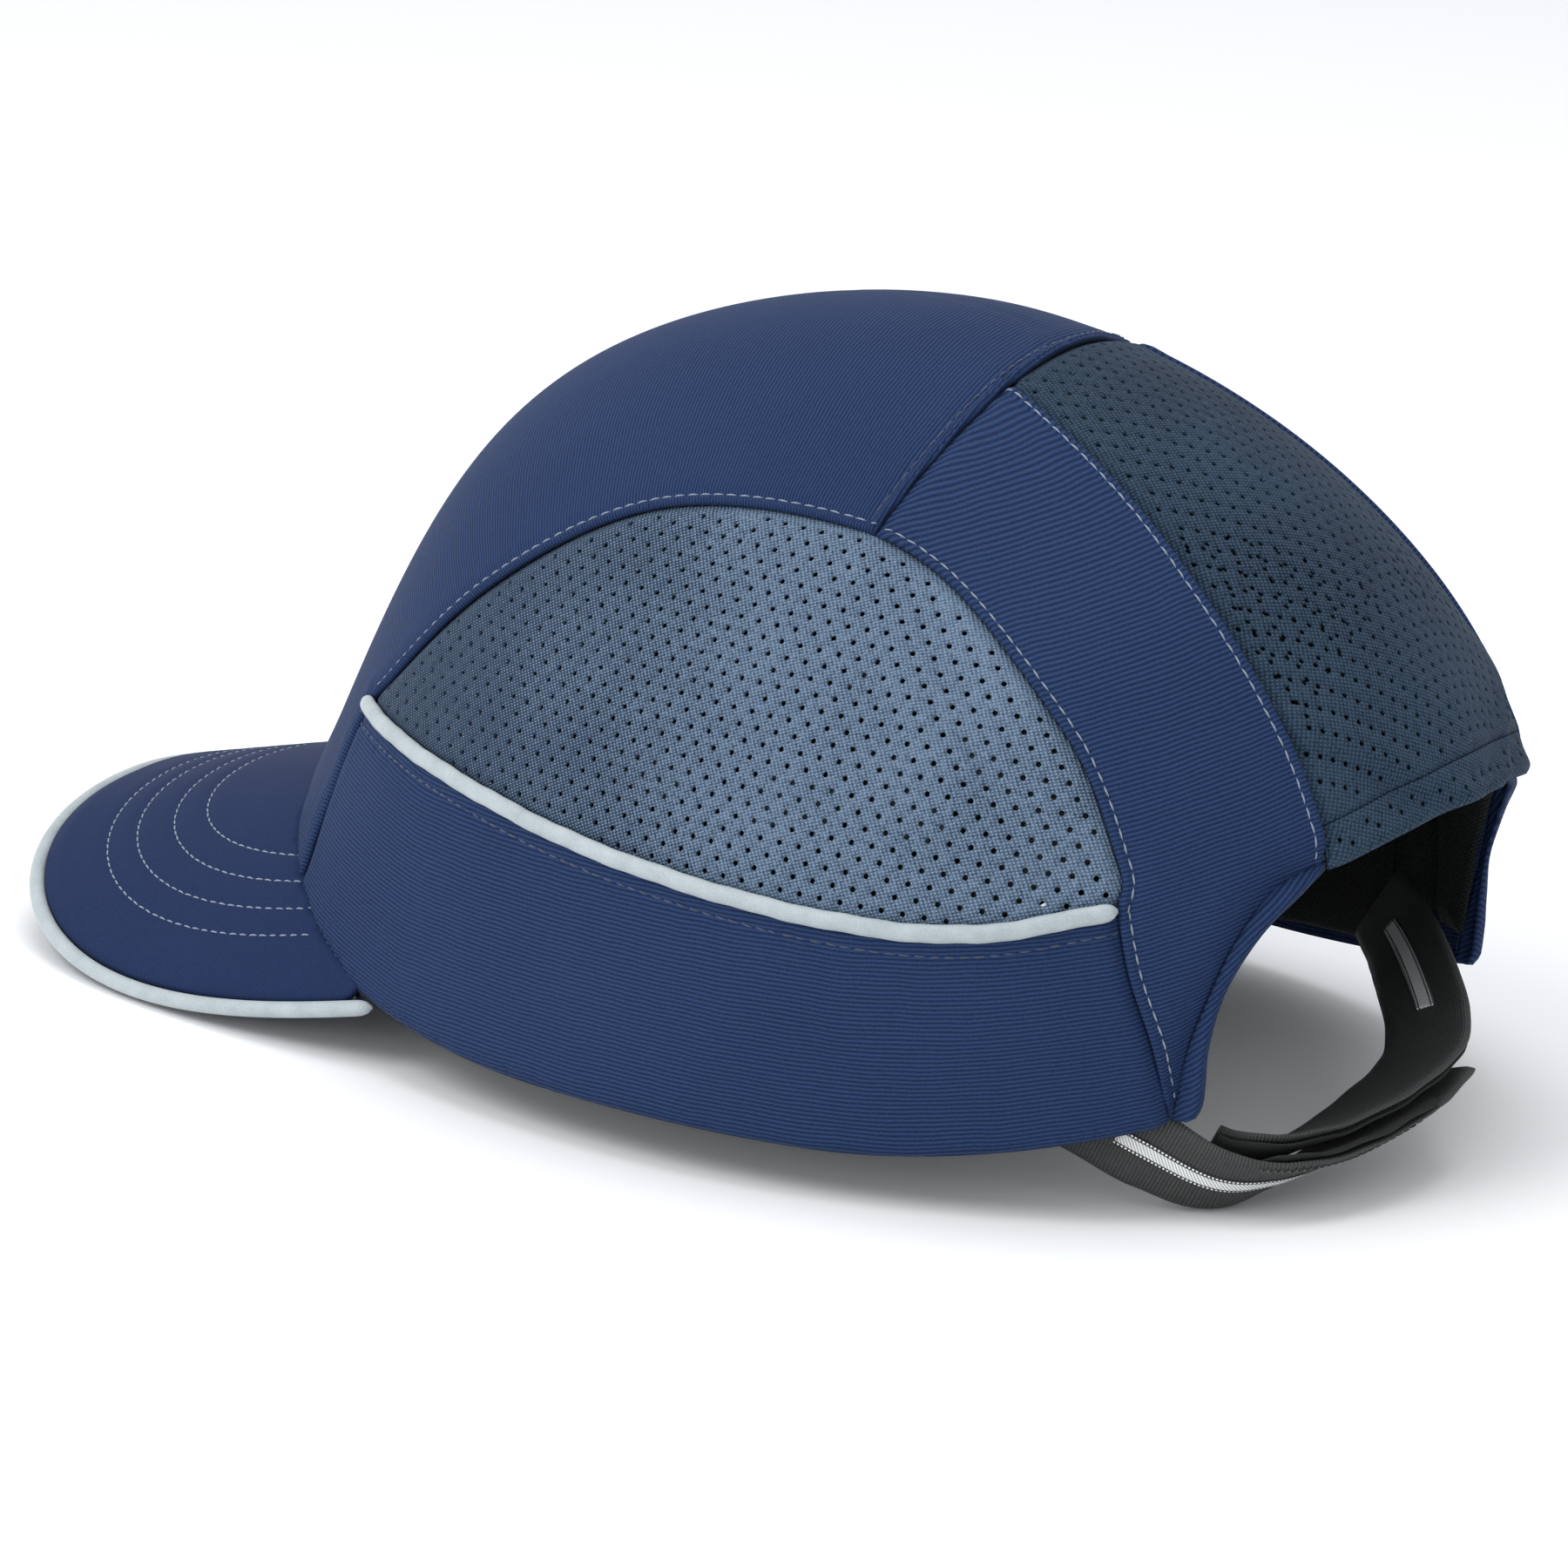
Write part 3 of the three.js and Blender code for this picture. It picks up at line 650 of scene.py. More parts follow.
def thread(name, dark, light):
    """Twisted sewing thread."""
    n = Nodes(name, 0.55, sheen=0.3)
    along, across = n.cloth()
    twist = n.waves(n.math("MULTIPLY_ADD", across, 0.6, along), 0.3)
    return n.finish(n.blend(twist, dark, light), twist, 0.05)


def make_materials():
    return {
        "twill": twill("twill", (0.005, 0.0103, 0.033), (0.0295, 0.058, 0.150)),
        "peak_twill": twill("peak_twill", (0.006, 0.012, 0.040), (0.020, 0.038, 0.108), 0.5, 0.04),
        # The side mesh's knit takes 0.42 of painted shade towards the front of the cap.
        "knit": knit("knit", (0.022, 0.038, 0.068), (0.215, 0.305, 0.430), 0.42),
        "knit_rear": knit("knit_rear", (0.004, 0.009, 0.017), (0.045, 0.083, 0.138), 0),
        "piping": reflective_piping("piping"),
        "lining": knit("lining", (0.003, 0.004, 0.004), (0.018, 0.022, 0.022), 0),
        "webbing": webbing("webbing", (0.006, 0.0075, 0.0075), (0.046, 0.053, 0.050)),
        "stripe": silver_stripe("stripe"),
        "pile": grainy("pile", (0.004, 0.005, 0.005), (0.024, 0.027, 0.026), 0.9, 3.0, 0.4),
        # Painted light: the foam is given a pale colour so that the shell's vents show bright patches where
        # light shines through the cap.
        "foam": grainy("foam", (0.50, 0.55, 0.58), (0.64, 0.68, 0.70), 0.85, 2.0, 0.08),
        "shell": grainy("shell", (0.012, 0.014, 0.017), (0.024, 0.027, 0.031), 0.42, 1.5, 0.02),
        "light_thread": thread("light_thread", (0.13, 0.17, 0.23), (0.32, 0.38, 0.45)),
        "dark_thread": thread("dark_thread", (0.010, 0.017, 0.045), (0.040, 0.062, 0.135)),
        "black_thread": thread("black_thread", (0.004, 0.005, 0.005), (0.03, 0.034, 0.032)),
    }


# ---------------------------------------------------------------- cloth panels


def smooth_step(value, start, end):
    """0 up to start, 1 from end on, and an even rise between them."""
    t = np.clip((value - start) / (end - start), 0, 1)
    return t * t * (3 - 2 * t)


def bell(value, centre, width):
    """1 at the centre, falling to nothing on both sides."""
    return np.exp(-(((value - centre) / width) ** 2))


CLOTH = 0.9  # thickness of the twill and of the knit
ARC_HEIGHT = 22  # height of the level line that the crown's and the rear mesh's cloth goes round

# How a panel's surface runs up to a seam. The edge itself sinks by the first number over the
# distance of the second. Each swell is its height, its distance from the seam and its width.
PROFILES = {
    # folded edge that lies on its neighbour, sewn down by one row of stitches
    "over": (0, 1, [(0.42, 0.8, 0.8), (-0.38, 1.8, 0.5), (0.12, 4.2, 1.4), (-0.4, 0, 0.3)]),
    # folded edge that stands well above the sagging mesh beside it
    "over_high": (0, 1, [(0.9, 0.9, 1.0), (-0.3, 1.8, 0.5), (0.25, 4.4, 1.8), (-0.5, 0, 0.3)]),
    # edge that goes under its neighbour
    "under": (0.95, 2.2, [(0.2, 3.6, 1.6)]),
    # band below the piping, with its own row of stitches
    "piped": (0.5, 1.2, [(0.25, 2.2, 0.9), (-0.2, 3.9, 0.6), (0.1, 5.6, 1.4)]),
    # turned-up bottom edge
    "rim": (0, 1, [(-0.55, 0, 0.7), (0.15, 2.5, 1.5)]),
    # deep fold beside the rolled border
    "fold": (0, 1, [(-1.9, 0, 2.4), (0.25, 6.5, 2.6)]),
    "border_fold": (0, 1, [(-2.1, 0, 1.7)]),
    "border_edge": (0, 1, [(0.9, 2.2, 2.2), (-1.5, 0, 0.9)]),
    "hem_edge": (0, 1, [(0.5, 1.8, 1.6), (-0.6, 0, 0.6)]),
    "hem_step": (0.35, 1.0, []),
}


def profile_height(profile, gap):
    """Height of a panel's surface at each distance from its seam."""
    sink, reach, swells = PROFILES[profile]
    height = -sink * (1 - smooth_step(gap, 0, reach))
    for size, centre, width in swells:
        height = height + size * bell(gap, centre, width)
    return height


def side_folds(p):
    """Soft puckers of the side mesh, where it hangs free of the shell."""
    lean = (p[:, 1] - 34) + 0.75 * (p[:, 2] - 72)
    run = bell(p[:, 2], 68, 20)
    fold = 1.1 * bell(lean, 0, 3.6) - 0.9 * bell(lean, 7.5, 4.2) - 0.5 * bell(lean, -7, 4.5)
    slack = -0.9 * bell(p[:, 1], -10, 45) * bell(p[:, 2], 64, 16)
    return fold * run + slack


def rear_folds(p):
    """Sag and slanting creases of the rear mesh above its hem."""
    low = 1 - smooth_step(p[:, 2], 60, 92)
    slant = np.abs(p[:, 0]) * 0.55 - (p[:, 2] - 58)
    crease = 0.9 * bell(slant, 3, 2.6) - 0.8 * bell(slant, 8.5, 3.0)
    hollow = -1.5 * bell(p[:, 0], 0, 30) * bell(p[:, 2], 80, 22)
    return low * crease + hollow + 0.5 * np.sin(p[:, 0] * 0.19 + 0.8) * low


def crown_folds(p):
    """Gentle unevenness of the crown, its middle crease, and its fullness above the peak."""
    middle = -0.22 * bell(p[:, 0] + 7 - (p[:, 1] + 22) * 0.22, 0, 0.8) * smooth_step(p[:, 2], 116, 121)
    wave = 0.30 * np.sin(p[:, 0] * 0.055 + 1.0) * np.sin(p[:, 1] * 0.047 + 0.4)
    front = 0.5 * bell(p[:, 2] - peak_height(p[:, 0], p[:, 1]), 7, 6) * smooth_step(-p[:, 1], 84, 98)
    return middle + wave + front


def band_folds(p):
    wave = 0.28 * np.sin(p[:, 1] * 0.083 + 0.6) * bell(p[:, 2], 20, 14)
    front = 0.3 * bell(p[:, 1], -86, 9) * bell(p[:, 2], 24, 12)
    return wave + front


def rear_side_folds(p):
    return 0.4 * np.sin(p[:, 1] * 0.06 + p[:, 2] * 0.05) * bell(p[:, 2], 70, 30)


def no_folds(p):
    return np.zeros(len(p))


# Where each kind of panel's points lie on its cloth, as (along, across) the ribs in mm.


def crown_cloth(p):
    """Ribs run across the head. Across them, the coordinate is an arc about a level line."""
    turn = np.arctan2(p[:, 2] - ARC_HEIGHT, -p[:, 1])
    return np.stack([p[:, 0], 98 * turn], -1)


def band_cloth(p):
    """Ribs follow the rim at the back and slope a little at the front."""
    rise = rim_height(np.maximum(p[:, 1], 0)) - 0.12 * np.minimum(p[:, 1] + 60, 0)
    return np.stack([p[:, 1], p[:, 2] - rise], -1)


def rear_side_cloth(p):
    back = 0.66 * p[:, 1] - 0.75 * np.abs(p[:, 0])
    return np.stack([back, p[:, 2] - 0.33 * back], -1)


def border_cloth(p):
    back = 0.66 * p[:, 1] - 0.75 * np.abs(p[:, 0])
    return np.stack([0.7 * back + 0.7 * p[:, 2], 0.72 * p[:, 2] - 0.7 * back], -1)


def side_mesh_cloth(p):
    return np.stack([p[:, 1], p[:, 2] + 0.5 * (84 - np.abs(p[:, 0]))], -1)


def rear_mesh_cloth(p):
    return np.stack([p[:, 0], 95 * np.arctan2(p[:, 2] - ARC_HEIGHT, p[:, 1])], -1)


# Panels: seams with their profiles, folds, cloth directions, material, flat size and area.
PANELS = {
    "crown_panel": (
        [("arch", "over"), ("band_front", "over"), ("crown_seam", "over"), ("rim", "rim")],
        crown_folds, crown_cloth, "twill", (0.17, 0.20), 0.0221,
    ),
    "rear_mesh": (
        [("crown_seam", "under"), ("rear_seam", "under"), ("hem_fold", "hem_step")],
        rear_folds, rear_mesh_cloth, "knit_rear", (0.08, 0.13), 0.0072,
    ),
    "rear_hem": (
        [("rear_seam", "under"), ("hem", "hem_edge")],
        rear_folds, rear_mesh_cloth, "knit_rear", (0.08, 0.016), 0.0007,
    ),
    "side_mesh": (
        [("arch", "under"), ("piping", "under")],
        side_folds, side_mesh_cloth, "knit", (0.17, 0.075), 0.0080,
    ),
    "side_band": (
        [("band_front", "under"), ("band_rear", "under"), ("piping", "piped"), ("rim", "rim")],
        band_folds, band_cloth, "twill", (0.19, 0.06), 0.0078,
    ),
    "rear_side": (
        [
            ("arch", "over"), ("band_rear", "over"), ("crown_seam", "under"),
            ("rear_seam", "over_high"), ("rim", "rim"), ("fold", "fold"),
        ],
        rear_side_folds, rear_side_cloth, "twill", (0.06, 0.13), 0.0039,
    ),
    "opening_border": (
        [("fold", "border_fold"), ("opening", "border_edge"), ("rim", "rim")],
        no_folds, border_cloth, "twill", (0.01, 0.07), 0.00026,
    ),
}
ONE_PIECE = ("crown_panel", "rear_mesh", "rear_hem")  # the others are made twice, left and right


def panel_offset(kind, side, points, lines):
    """Height of a panel's outer face above the dome at cap points."""
    height = PANELS[kind][1](points)
    for seam, profile in PANELS[kind][0]:
        name = seam if seam in lines else f"{seam}_{side}"
        height = height + profile_height(profile, distance(points, lines[name], closed=seam == "rim"))
    return height


HOLE_PITCH = 3.5
HOLE_ROWS = 2.5
HOLE_RADIUS = 0.52
HOLE_SIDES = 7
HOLE_MARGIN = 1.9


def side_hole_places():
    """Chart places of the side mesh's holes: level rows, evenly spaced over the surface."""
    places = []
    z = np.linspace(36, 100, 90)
    for column in range(52):
        for half in (0, 1):
            y = -92 + (column + half / 2) * HOLE_PITCH
            points = on_dome(side_to_chart(np.stack([np.full_like(z, y), z], -1)))
            height = walk_along(points)
            rows = np.arange(half, 34, 2) * HOLE_ROWS - 0.05 * y
            rows = rows[(rows > 0) & (rows < height[-1])]
            places.append(np.stack([np.full_like(rows, y), np.interp(rows, height, z)], -1))
    return side_to_chart(np.vstack(places))


def rear_hole_places():
    """Chart places of the rear mesh's holes: rows across, evenly spaced down the surface."""
    places = []
    v = np.linspace(8, 82, 110)
    for column in range(-12, 13):
        for half in (0, 1):
            x = (column + half / 2) * HOLE_PITCH
            low, high = np.full_like(v, -60.0), np.full_like(v, 60.0)
            u = bisect(low, high, lambda m: on_dome(np.stack([m, v], -1))[:, 0] < x)
            points = on_dome(np.stack([u, v], -1))
            down = walk_along(points)
            rows = np.arange(half, 70, 2) * HOLE_ROWS
            rows = rows[rows < down[-1]]
            places.append(np.stack([np.interp(rows, down, u), np.interp(rows, down, v)], -1))
    return np.vstack(places)


def ring(centre, radius, sides):
    """Chart polygon of a round hole of that radius in mm."""
    angle, rise = from_chart(centre[None])
    point = dome(angle, rise)[0]
    step = 0.002
    wide = np.linalg.norm((dome(angle + step, rise)[0] - point) / step)
    up = np.linalg.norm((dome(angle, rise + step)[0] - point) / step)
    turn = np.arange(sides) * 2 * math.pi / sides
    return to_chart(angle + radius * np.cos(turn) / wide, rise + radius * np.sin(turn) / up)


def panel_tests(chart, lines):
    """Which panel each chart point belongs to, as a name, or an empty string for none."""
    far = 400.0
    inner = inside(chart, lines["rim"])
    left, right = lines["opening_left"], lines["opening_right"]
    feet = [[right[0, 0], far], [left[0, 0], far]]
    hole = inside(chart, np.vstack([left, lines["hem"][1:-1], right[::-1], feet]))
    crown = lines["crown_seam"]
    beyond = [[far, crown[-1, 1]], [far, far], [-far, far], [-far, crown[0, 1]]]
    behind = inside(chart, np.vstack([crown, beyond]))
    seam_left, seam_right = lines["rear_seam_left"], lines["rear_seam_right"]
    below = [[seam_left[-1, 0], far], [seam_right[-1, 0], far]]
    middle = inside(chart, np.vstack([seam_left, below, seam_right[::-1]]))
    names = np.full(len(chart), "crown_panel", dtype=object)
    names[behind] = "rear_side"
    names[behind & middle] = "rear_mesh"
    hem = inside(chart, np.vstack([lines["hem_fold"], lines["hem"][::-1]]))
    names[behind & hem] = "rear_hem"
    for side, out in (("left", far), ("right", -far)):
        fold, edge = lines[f"fold_{side}"], lines[f"opening_{side}"]
        own = inside(chart, np.vstack([fold[::-1], [[fold[0, 0], far], [edge[0, 0], far]], edge]))
        names[own & behind & ~middle & ~hem] = "opening_border"
        arch, piping = lines[f"arch_{side}"], lines[f"piping_{side}"]
        names[inside(chart, np.vstack([arch, piping[::-1]]))] = "side_mesh"
        ahead, back = lines[f"band_front_{side}"], lines[f"band_rear_{side}"]
        corners = [[out, back[-1, 1]], [out, ahead[-1, 1]]]
        names[inside(chart, np.vstack([ahead[::-1], piping, back, corners]))] = "side_band"
    names[~inner | hole] = ""
    return names


SEAM_ROWS = (0.6, 1.2, 1.8, 2.7)  # distances from a seam at which its panels have a row of points
STITCHED_ROWS = (*SEAM_ROWS, 3.9)  # the same beside the piping, out to its row of stitches
GRID_SPACING = 1.35
GRID_MARGIN = 3.4


def seam_rows(lines):
    """Rows of chart points beside every seam, so that the panels follow their edge profiles."""
    rows = []
    for name, line in lines.items():
        others = [other for key, other in lines.items() if key != name]
        count = max(int(len(line) * 0.9), 8)
        for shift in STITCHED_ROWS if name.startswith("piping") else SEAM_ROWS:
            for way in (-1, 1):
                rows.append(clear_of(beside(resample(line, count), way * shift), others, 0.6))
    return rows


def hole_places(lines):
    """Chart places of all the holes that fit in the meshes."""
    side_holes = side_hole_places()
    holes = np.vstack([side_holes, flipped(side_holes), rear_hole_places()])
    kinds = panel_tests(holes, lines)
    holes = holes[np.isin(kinds, ["side_mesh", "rear_mesh", "rear_hem"])]
    return clear_of(holes, lines.values(), HOLE_MARGIN)


def make_panels(materials, lines):
    """All fabric panels, cut from one triangulation of the dome."""
    seam_points = {name: on_dome(line) for name, line in lines.items()}
    holes = hole_places(lines)
    hole_points = on_dome(holes)
    rings = {f"hole{k}": ring(h, HOLE_RADIUS, HOLE_SIDES) for k, h in enumerate(holes)}
    grid = clear_of(hexagonal(CHART, GRID_SPACING), lines.values(), GRID_MARGIN)
    loose = np.vstack([*seam_rows(lines), grid])
    loose = loose[nearest(on_dome(loose), hole_points) > HOLE_RADIUS + 0.35]
    chart, faces = triangulate({**lines, **rings}, loose, {"rim", *rings})
    centres = chart[faces].mean(axis=1)
    kind = panel_tests(centres, lines)
    kind[nearest(on_dome(centres), hole_points) < HOLE_RADIUS * 0.88] = ""
    for name, (_, _, cloth, material, flat, area) in PANELS.items():
        for side in [""] if name in ONE_PIECE else ["left", "right"]:
            own = kind == name
            if side:
                own &= (centres[:, 0] > 0) == (side == "left")
            own_faces, (own_chart,) = used_only(faces[own], chart)
            points = on_dome(own_chart)
            outer = two_sided_offset(name, side, points, seam_points)
            title = f"{name}_{side}" if side else name
            obj = dome_sheet(f"{title}_cloth", own_chart, own_faces, outer, outer - CLOTH, cloth(points))
            dress(obj, title, materials[material])


def two_sided_offset(kind, side, points, places):
    """Height of a panel's outer face; a panel over both sides takes each side's own seams."""
    if side:
        return panel_offset(kind, side, points, places)
    left = panel_offset(kind, "left", points, places)
    right = panel_offset(kind, "right", points, places)
    return np.where(points[:, 0] > 0, left, right)


# ---------------------------------------------------------------- stitches


# Half width of a stitch at each of its five rings, and how far the ring stands above the cloth,
# both in thread radii.
STITCH_WIDTHS = (0.25, 0.85, 1.0, 0.85, 0.25)
STITCH_LIFTS = (-0.9, -0.25, 0.1, -0.25, -0.9)
STITCH_SIDES = 6


def capsules(name, centres, tangents, normals, length, radius, material):
    """One small thread loop at each centre: a capsule that dips into the cloth at its ends."""
    rings = len(STITCH_WIDTHS)
    points, faces, uv = [], [], []
    for c, t, nrm in zip(centres, tangents, normals):
        side = np.cross(nrm, t)
        faces += skin(rings, STITCH_SIDES, first=len(points))
        for k, (wide, lift) in enumerate(zip(STITCH_WIDTHS, STITCH_LIFTS)):
            middle = c + t * length * (k / (rings - 1) - 0.5) + nrm * radius * lift
            for s in range(STITCH_SIDES):
                turn = 2 * math.pi * s / STITCH_SIDES
                points.append(middle + radius * wide * (side * math.cos(turn) + nrm * math.sin(turn)))
                uv.append((k * length / (rings - 1), s * radius))
    obj = make_object(name, points, faces, uv)
    obj.data.materials.append(material)
    return obj


STITCH_PITCH = 2.5
STITCH_LENGTH = 2.15
THREAD_RADIUS = 0.18


def stitch_row(name, path, normals, material, seed, size=(STITCH_PITCH, STITCH_LENGTH, THREAD_RADIUS)):
    """Stitches along a cap polyline, a little uneven in place and slant."""
    pitch, length, radius = size
    walk = walk_along(path)
    at = np.arange(pitch / 2, walk[-1], pitch)
    random = np.random.default_rng(seed)
    at = at + random.uniform(-0.12, 0.12, len(at))
    centres = places_at(walk, path, at)
    normal = unit(places_at(walk, normals, at))
    tangent = unit(places_at(walk, path, at + 0.5) - places_at(walk, path, at - 0.5))
    slant = random.uniform(-0.09, 0.09, len(at))[:, None]
    tangent = unit(tangent + np.cross(normal, tangent) * slant)
    obj = capsules(name, centres, tangent, normal, length, radius, material)
    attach(obj, "cap")


# Stitch rows on the dome: seam, distance from it in mm, the panel they lie on, thread.
STITCHES = [
    ("arch", 1.8, "crown_panel", "light_thread"),
    ("arch", 1.8, "rear_side", "light_thread"),
    ("band_rear", 1.8, "rear_side", "light_thread"),
    ("rear_seam", 1.8, "rear_side", "light_thread"),
    ("band_front", 1.8, "crown_panel", "dark_thread"),
    ("piping", 3.9, "side_band", "dark_thread"),
    ("crown_seam", 1.8, "crown_panel", "dark_thread"),
]


def make_stitches(materials, lines):
    seam_points = {name: on_dome(line) for name, line in lines.items()}
    for number, (seam, shift, panel, thread_name) in enumerate(STITCHES):
        whole = seam in lines
        for side in ["left"] if whole else ["left", "right"]:
            line = resample(lines[seam if whole else f"{seam}_{side}"], 240)
            rows = [beside(line, way * shift) for way in (-1, 1)]
            names = [panel_tests(row, lines) == panel for row in rows]
            row, own = max(zip(rows, names), key=lambda pair: pair[1].sum())
            first, last = np.flatnonzero(own)[[0, -1]]
            row = row[first : last + 1]
            angle, rise = from_chart(row)
            points, normals = dome(angle, rise), dome_normal(angle, rise)
            height = two_sided_offset(panel, "" if panel in ONE_PIECE else side, points, seam_points)
            path = points + normals * (height + THREAD_RADIUS * 0.7)[:, None]
            stitch_row(f"stitches_{seam}_{number}_{side}", path, normals, materials[thread_name], number)


# ---------------------------------------------------------------- tubes, piping and peak


END_RINGS = 3  # rings over which a tube's end is rounded


def tube_mesh(name, path, normals, wide, tall, sides=14):
    """Closed tube along cap points, wide across and tall along the normals, with rounded ends."""
    along = unit(np.gradient(path, axis=0))
    across = unit(np.cross(normals, along))
    up = np.cross(along, across)
    count = len(path)
    turn = np.arange(sides) * 2 * math.pi / sides
    end = np.minimum(np.arange(count), np.arange(count)[::-1])
    size = np.sqrt(np.clip(1 - (1 - np.minimum(end / END_RINGS, 1)) ** 2, 0.05, 1))
    points = [
        p + s * (a * wide * np.cos(turn)[:, None] + u * tall * np.sin(turn)[:, None])
        for p, s, a, u in zip(path, size, across, up)
    ]
    uv = [(w, t * wide) for w in walk_along(path) for t in turn]
    return make_object(name, np.vstack(points), skin(count, sides), uv)


def make_side_piping(materials, lines):
    step = np.arange(200)
    wobble = 0.072 * np.sin(step * 0.31) + 0.048 * np.sin(step * 0.83)
    for side in ("left", "right"):
        angle, rise = from_chart(resample(lines[f"piping_{side}"], len(step)))
        normals = dome_normal(angle, rise)
        path = dome(angle, rise) + normals * 0.75
        path[:, 2] += wobble
        obj = tube_mesh(f"side_piping_{side}_cord", path, normals, 1.55, 1.2)
        dress(obj, f"side_piping_{side}", materials["piping"])


PEAK_ROWS = [(61.0, 156.5), (56.3, 151.4), (51.0, 144.8), (45.4, 139.4)]  # half width and tip of each
PEAK_ROW_REAR = 83.0
PEAK_ROW_SQUARENESS = 2.7
PEAK_SQUARENESS = 3.0
PEAK_STITCH = (2.3, 2.1, 0.17)  # pitch, length and thread radius


def peak_rows(count=200):
    return [peak_outline(0, half, tip, PEAK_ROW_REAR, PEAK_ROW_SQUARENESS, count) for half, tip in PEAK_ROWS]


def flat_distance(points, line):
    flat = np.hstack([points, np.zeros((len(points), 1))])
    return distance(flat, np.hstack([line, np.zeros((len(line), 1))]))


def peak_puff(plan, edge, rows):
    """Height of the peak's top cover above its board: sunk at each stitch row and at the edge."""
    gap = flat_distance(plan, edge)
    height = 0.35 * smooth_step(gap, 0, 3.0) - 0.5 * bell(gap, 0, 1.0)
    for row in rows:
        height = height - 0.32 * bell(flat_distance(plan, row), 0, 0.8)
    return height + 0.12 * np.sin(plan[:, 0] * 0.07) * np.sin(plan[:, 1] * 0.06)


def peak_grid(outline, rows):
    """Plan points inside the peak's outline: an even grid, rows near the edge and stitch rows."""
    x, y = np.meshgrid(np.arange(-72, 73, 1.5), np.arange(-170, -58, 1.3))
    x = x + np.where(np.arange(len(x)) % 2, 0.75, 0)[:, None]
    grid = np.stack([x.ravel(), y.ravel()], -1)
    closed = np.vstack([outline, outline[:1]])
    near_edge = [outline * [(PEAK_HALF - gap) / PEAK_HALF, 1] for gap in (0.8, 1.7)]
    grid = grid[inside(grid, outline)]
    grid = grid[flat_distance(grid, closed) > 1.6]
    grid = np.vstack([grid, *(line[inside(line, outline)] for line in (*near_edge, *rows))])
    return grid[flat_distance(grid, closed) > 0.5]


def peak_sheet(name, inset, top, thickness, puffed):
    """One cover of the peak, from inside the crown's front edge out to its piping."""
    angle, rise = peak_junction(0.4)
    back = dome(angle, rise) - dome_normal(angle, rise)
    back = back[np.abs(back[:, 0]) < PEAK_HALF - inset - 0.5]
    edge = peak_outline(inset, PEAK_HALF, PEAK_TIP, PEAK_REAR, PEAK_SQUARENESS, 150)
    edge = edge[edge[:, 1] < back[[0, -1], 1].mean() - 1.0]
    outline = resample(np.vstack([edge, back[::-1, :2]]), 330)
    rows = peak_rows(140)
    chart, faces = triangulate({"edge": outline}, peak_grid(outline, rows), {"edge"})
    faces = faces[inside(chart[faces].mean(axis=1), outline)]
    faces, (chart,) = used_only(faces, chart)
    puff = peak_puff(chart, edge, rows) if puffed else 0.25 * bell(flat_distance(chart, edge), 0, 1.4)
    surface = np.column_stack([chart, peak_height(chart[:, 0], chart[:, 1]) + top + puff])
    up = np.tile([0.0, 0.0, 1.0], (len(chart), 1))
    level = np.zeros(len(chart))
    return closed_sheet(name, surface, up, faces, level, level - thickness, chart)


def make_peak(materials):
    top = peak_sheet("peak_top_cloth", 1.2, 0.0, 1.6, True)
    under = peak_sheet("peak_under_cloth", 0.5, -3.0, CLOTH, False)
    for obj, node, material in ((top, "peak_top", "peak_twill"), (under, "peak_under", "twill")):
        dress(obj, node, materials[material])
    edge = peak_outline(0, PEAK_HALF, PEAK_TIP, PEAK_REAR, PEAK_SQUARENESS, 400)
    edge = resample(edge[edge[:, 1] < -66], 260)
    path = np.column_stack([edge, peak_height(edge[:, 0], edge[:, 1]) - 1.35])
    up = np.tile([0.0, 0.0, 1.0], (len(path), 1))
    obj = tube_mesh("peak_piping_cord", path, up, 1.45, 1.45, 16)
    dress(obj, "peak_piping", materials["piping"])
    rows = peak_rows()
    for number, row in enumerate(rows):
        height = peak_height(row[:, 0], row[:, 1]) + peak_puff(row, edge, rows) + 0.08
        path = np.column_stack([row, height])
        path = path[outside_crown(path)]
        slopes = [row[:, 0] / PEAK_RADIUS, np.full(len(row), -PEAK_FALL), np.ones(len(row))]
        normals = unit(np.column_stack(slopes))[: len(path)]
        thread_material = materials["light_thread"]
        stitch_row(f"peak_stitches_{number}", path, normals, thread_material, 20 + number, PEAK_STITCH)


def outside_crown(points):
    """Which cap points lie outside the dome."""
    angle = np.arctan2(points[:, 0] / HALF_WIDTH, -points[:, 1] / FRONT_REACH)
    wall = dome(angle, rise_at(angle, points[:, 2]))
    return np.hypot(points[:, 0], points[:, 1]) > np.hypot(wall[:, 0], wall[:, 1]) + 0.3


# ---------------------------------------------------------------- straps

# Path of the strap loop: x, y, z and how far the outer face turns downwards, in degrees.
STRAP_LOOP = [
    (57.8, 59.5, 10, 0),
    (54.4, 75, 3.2, 8),
    (49, 86, -1.6, 32),
    (42, 92.3, -1.8, 52),
    (31, 97, -0.2, 66),
    (17, 100.5, 3, 73),
    (0, 100.5, 6, 73),
    (-13.5, 95, 7.8, 70),
    (-27, 87.5, 9, 62),
    (-41, 79.5, 10, 50),
    (-54, 71.5, 11, 36),
    (-65, 62, 14.5, 20),
]
# Places on the straps are point indexes along the loop.
STRAP_HALF = 7.5
STRAP_THICK = 1.4
RIGHT_LAYER = -5.0  # how far inside the left strap the right one runs
TAB_START = 5.35
TAB_END = 6.15
STRIPE_HALF = 1.7
STRIPE_THICK = 0.3


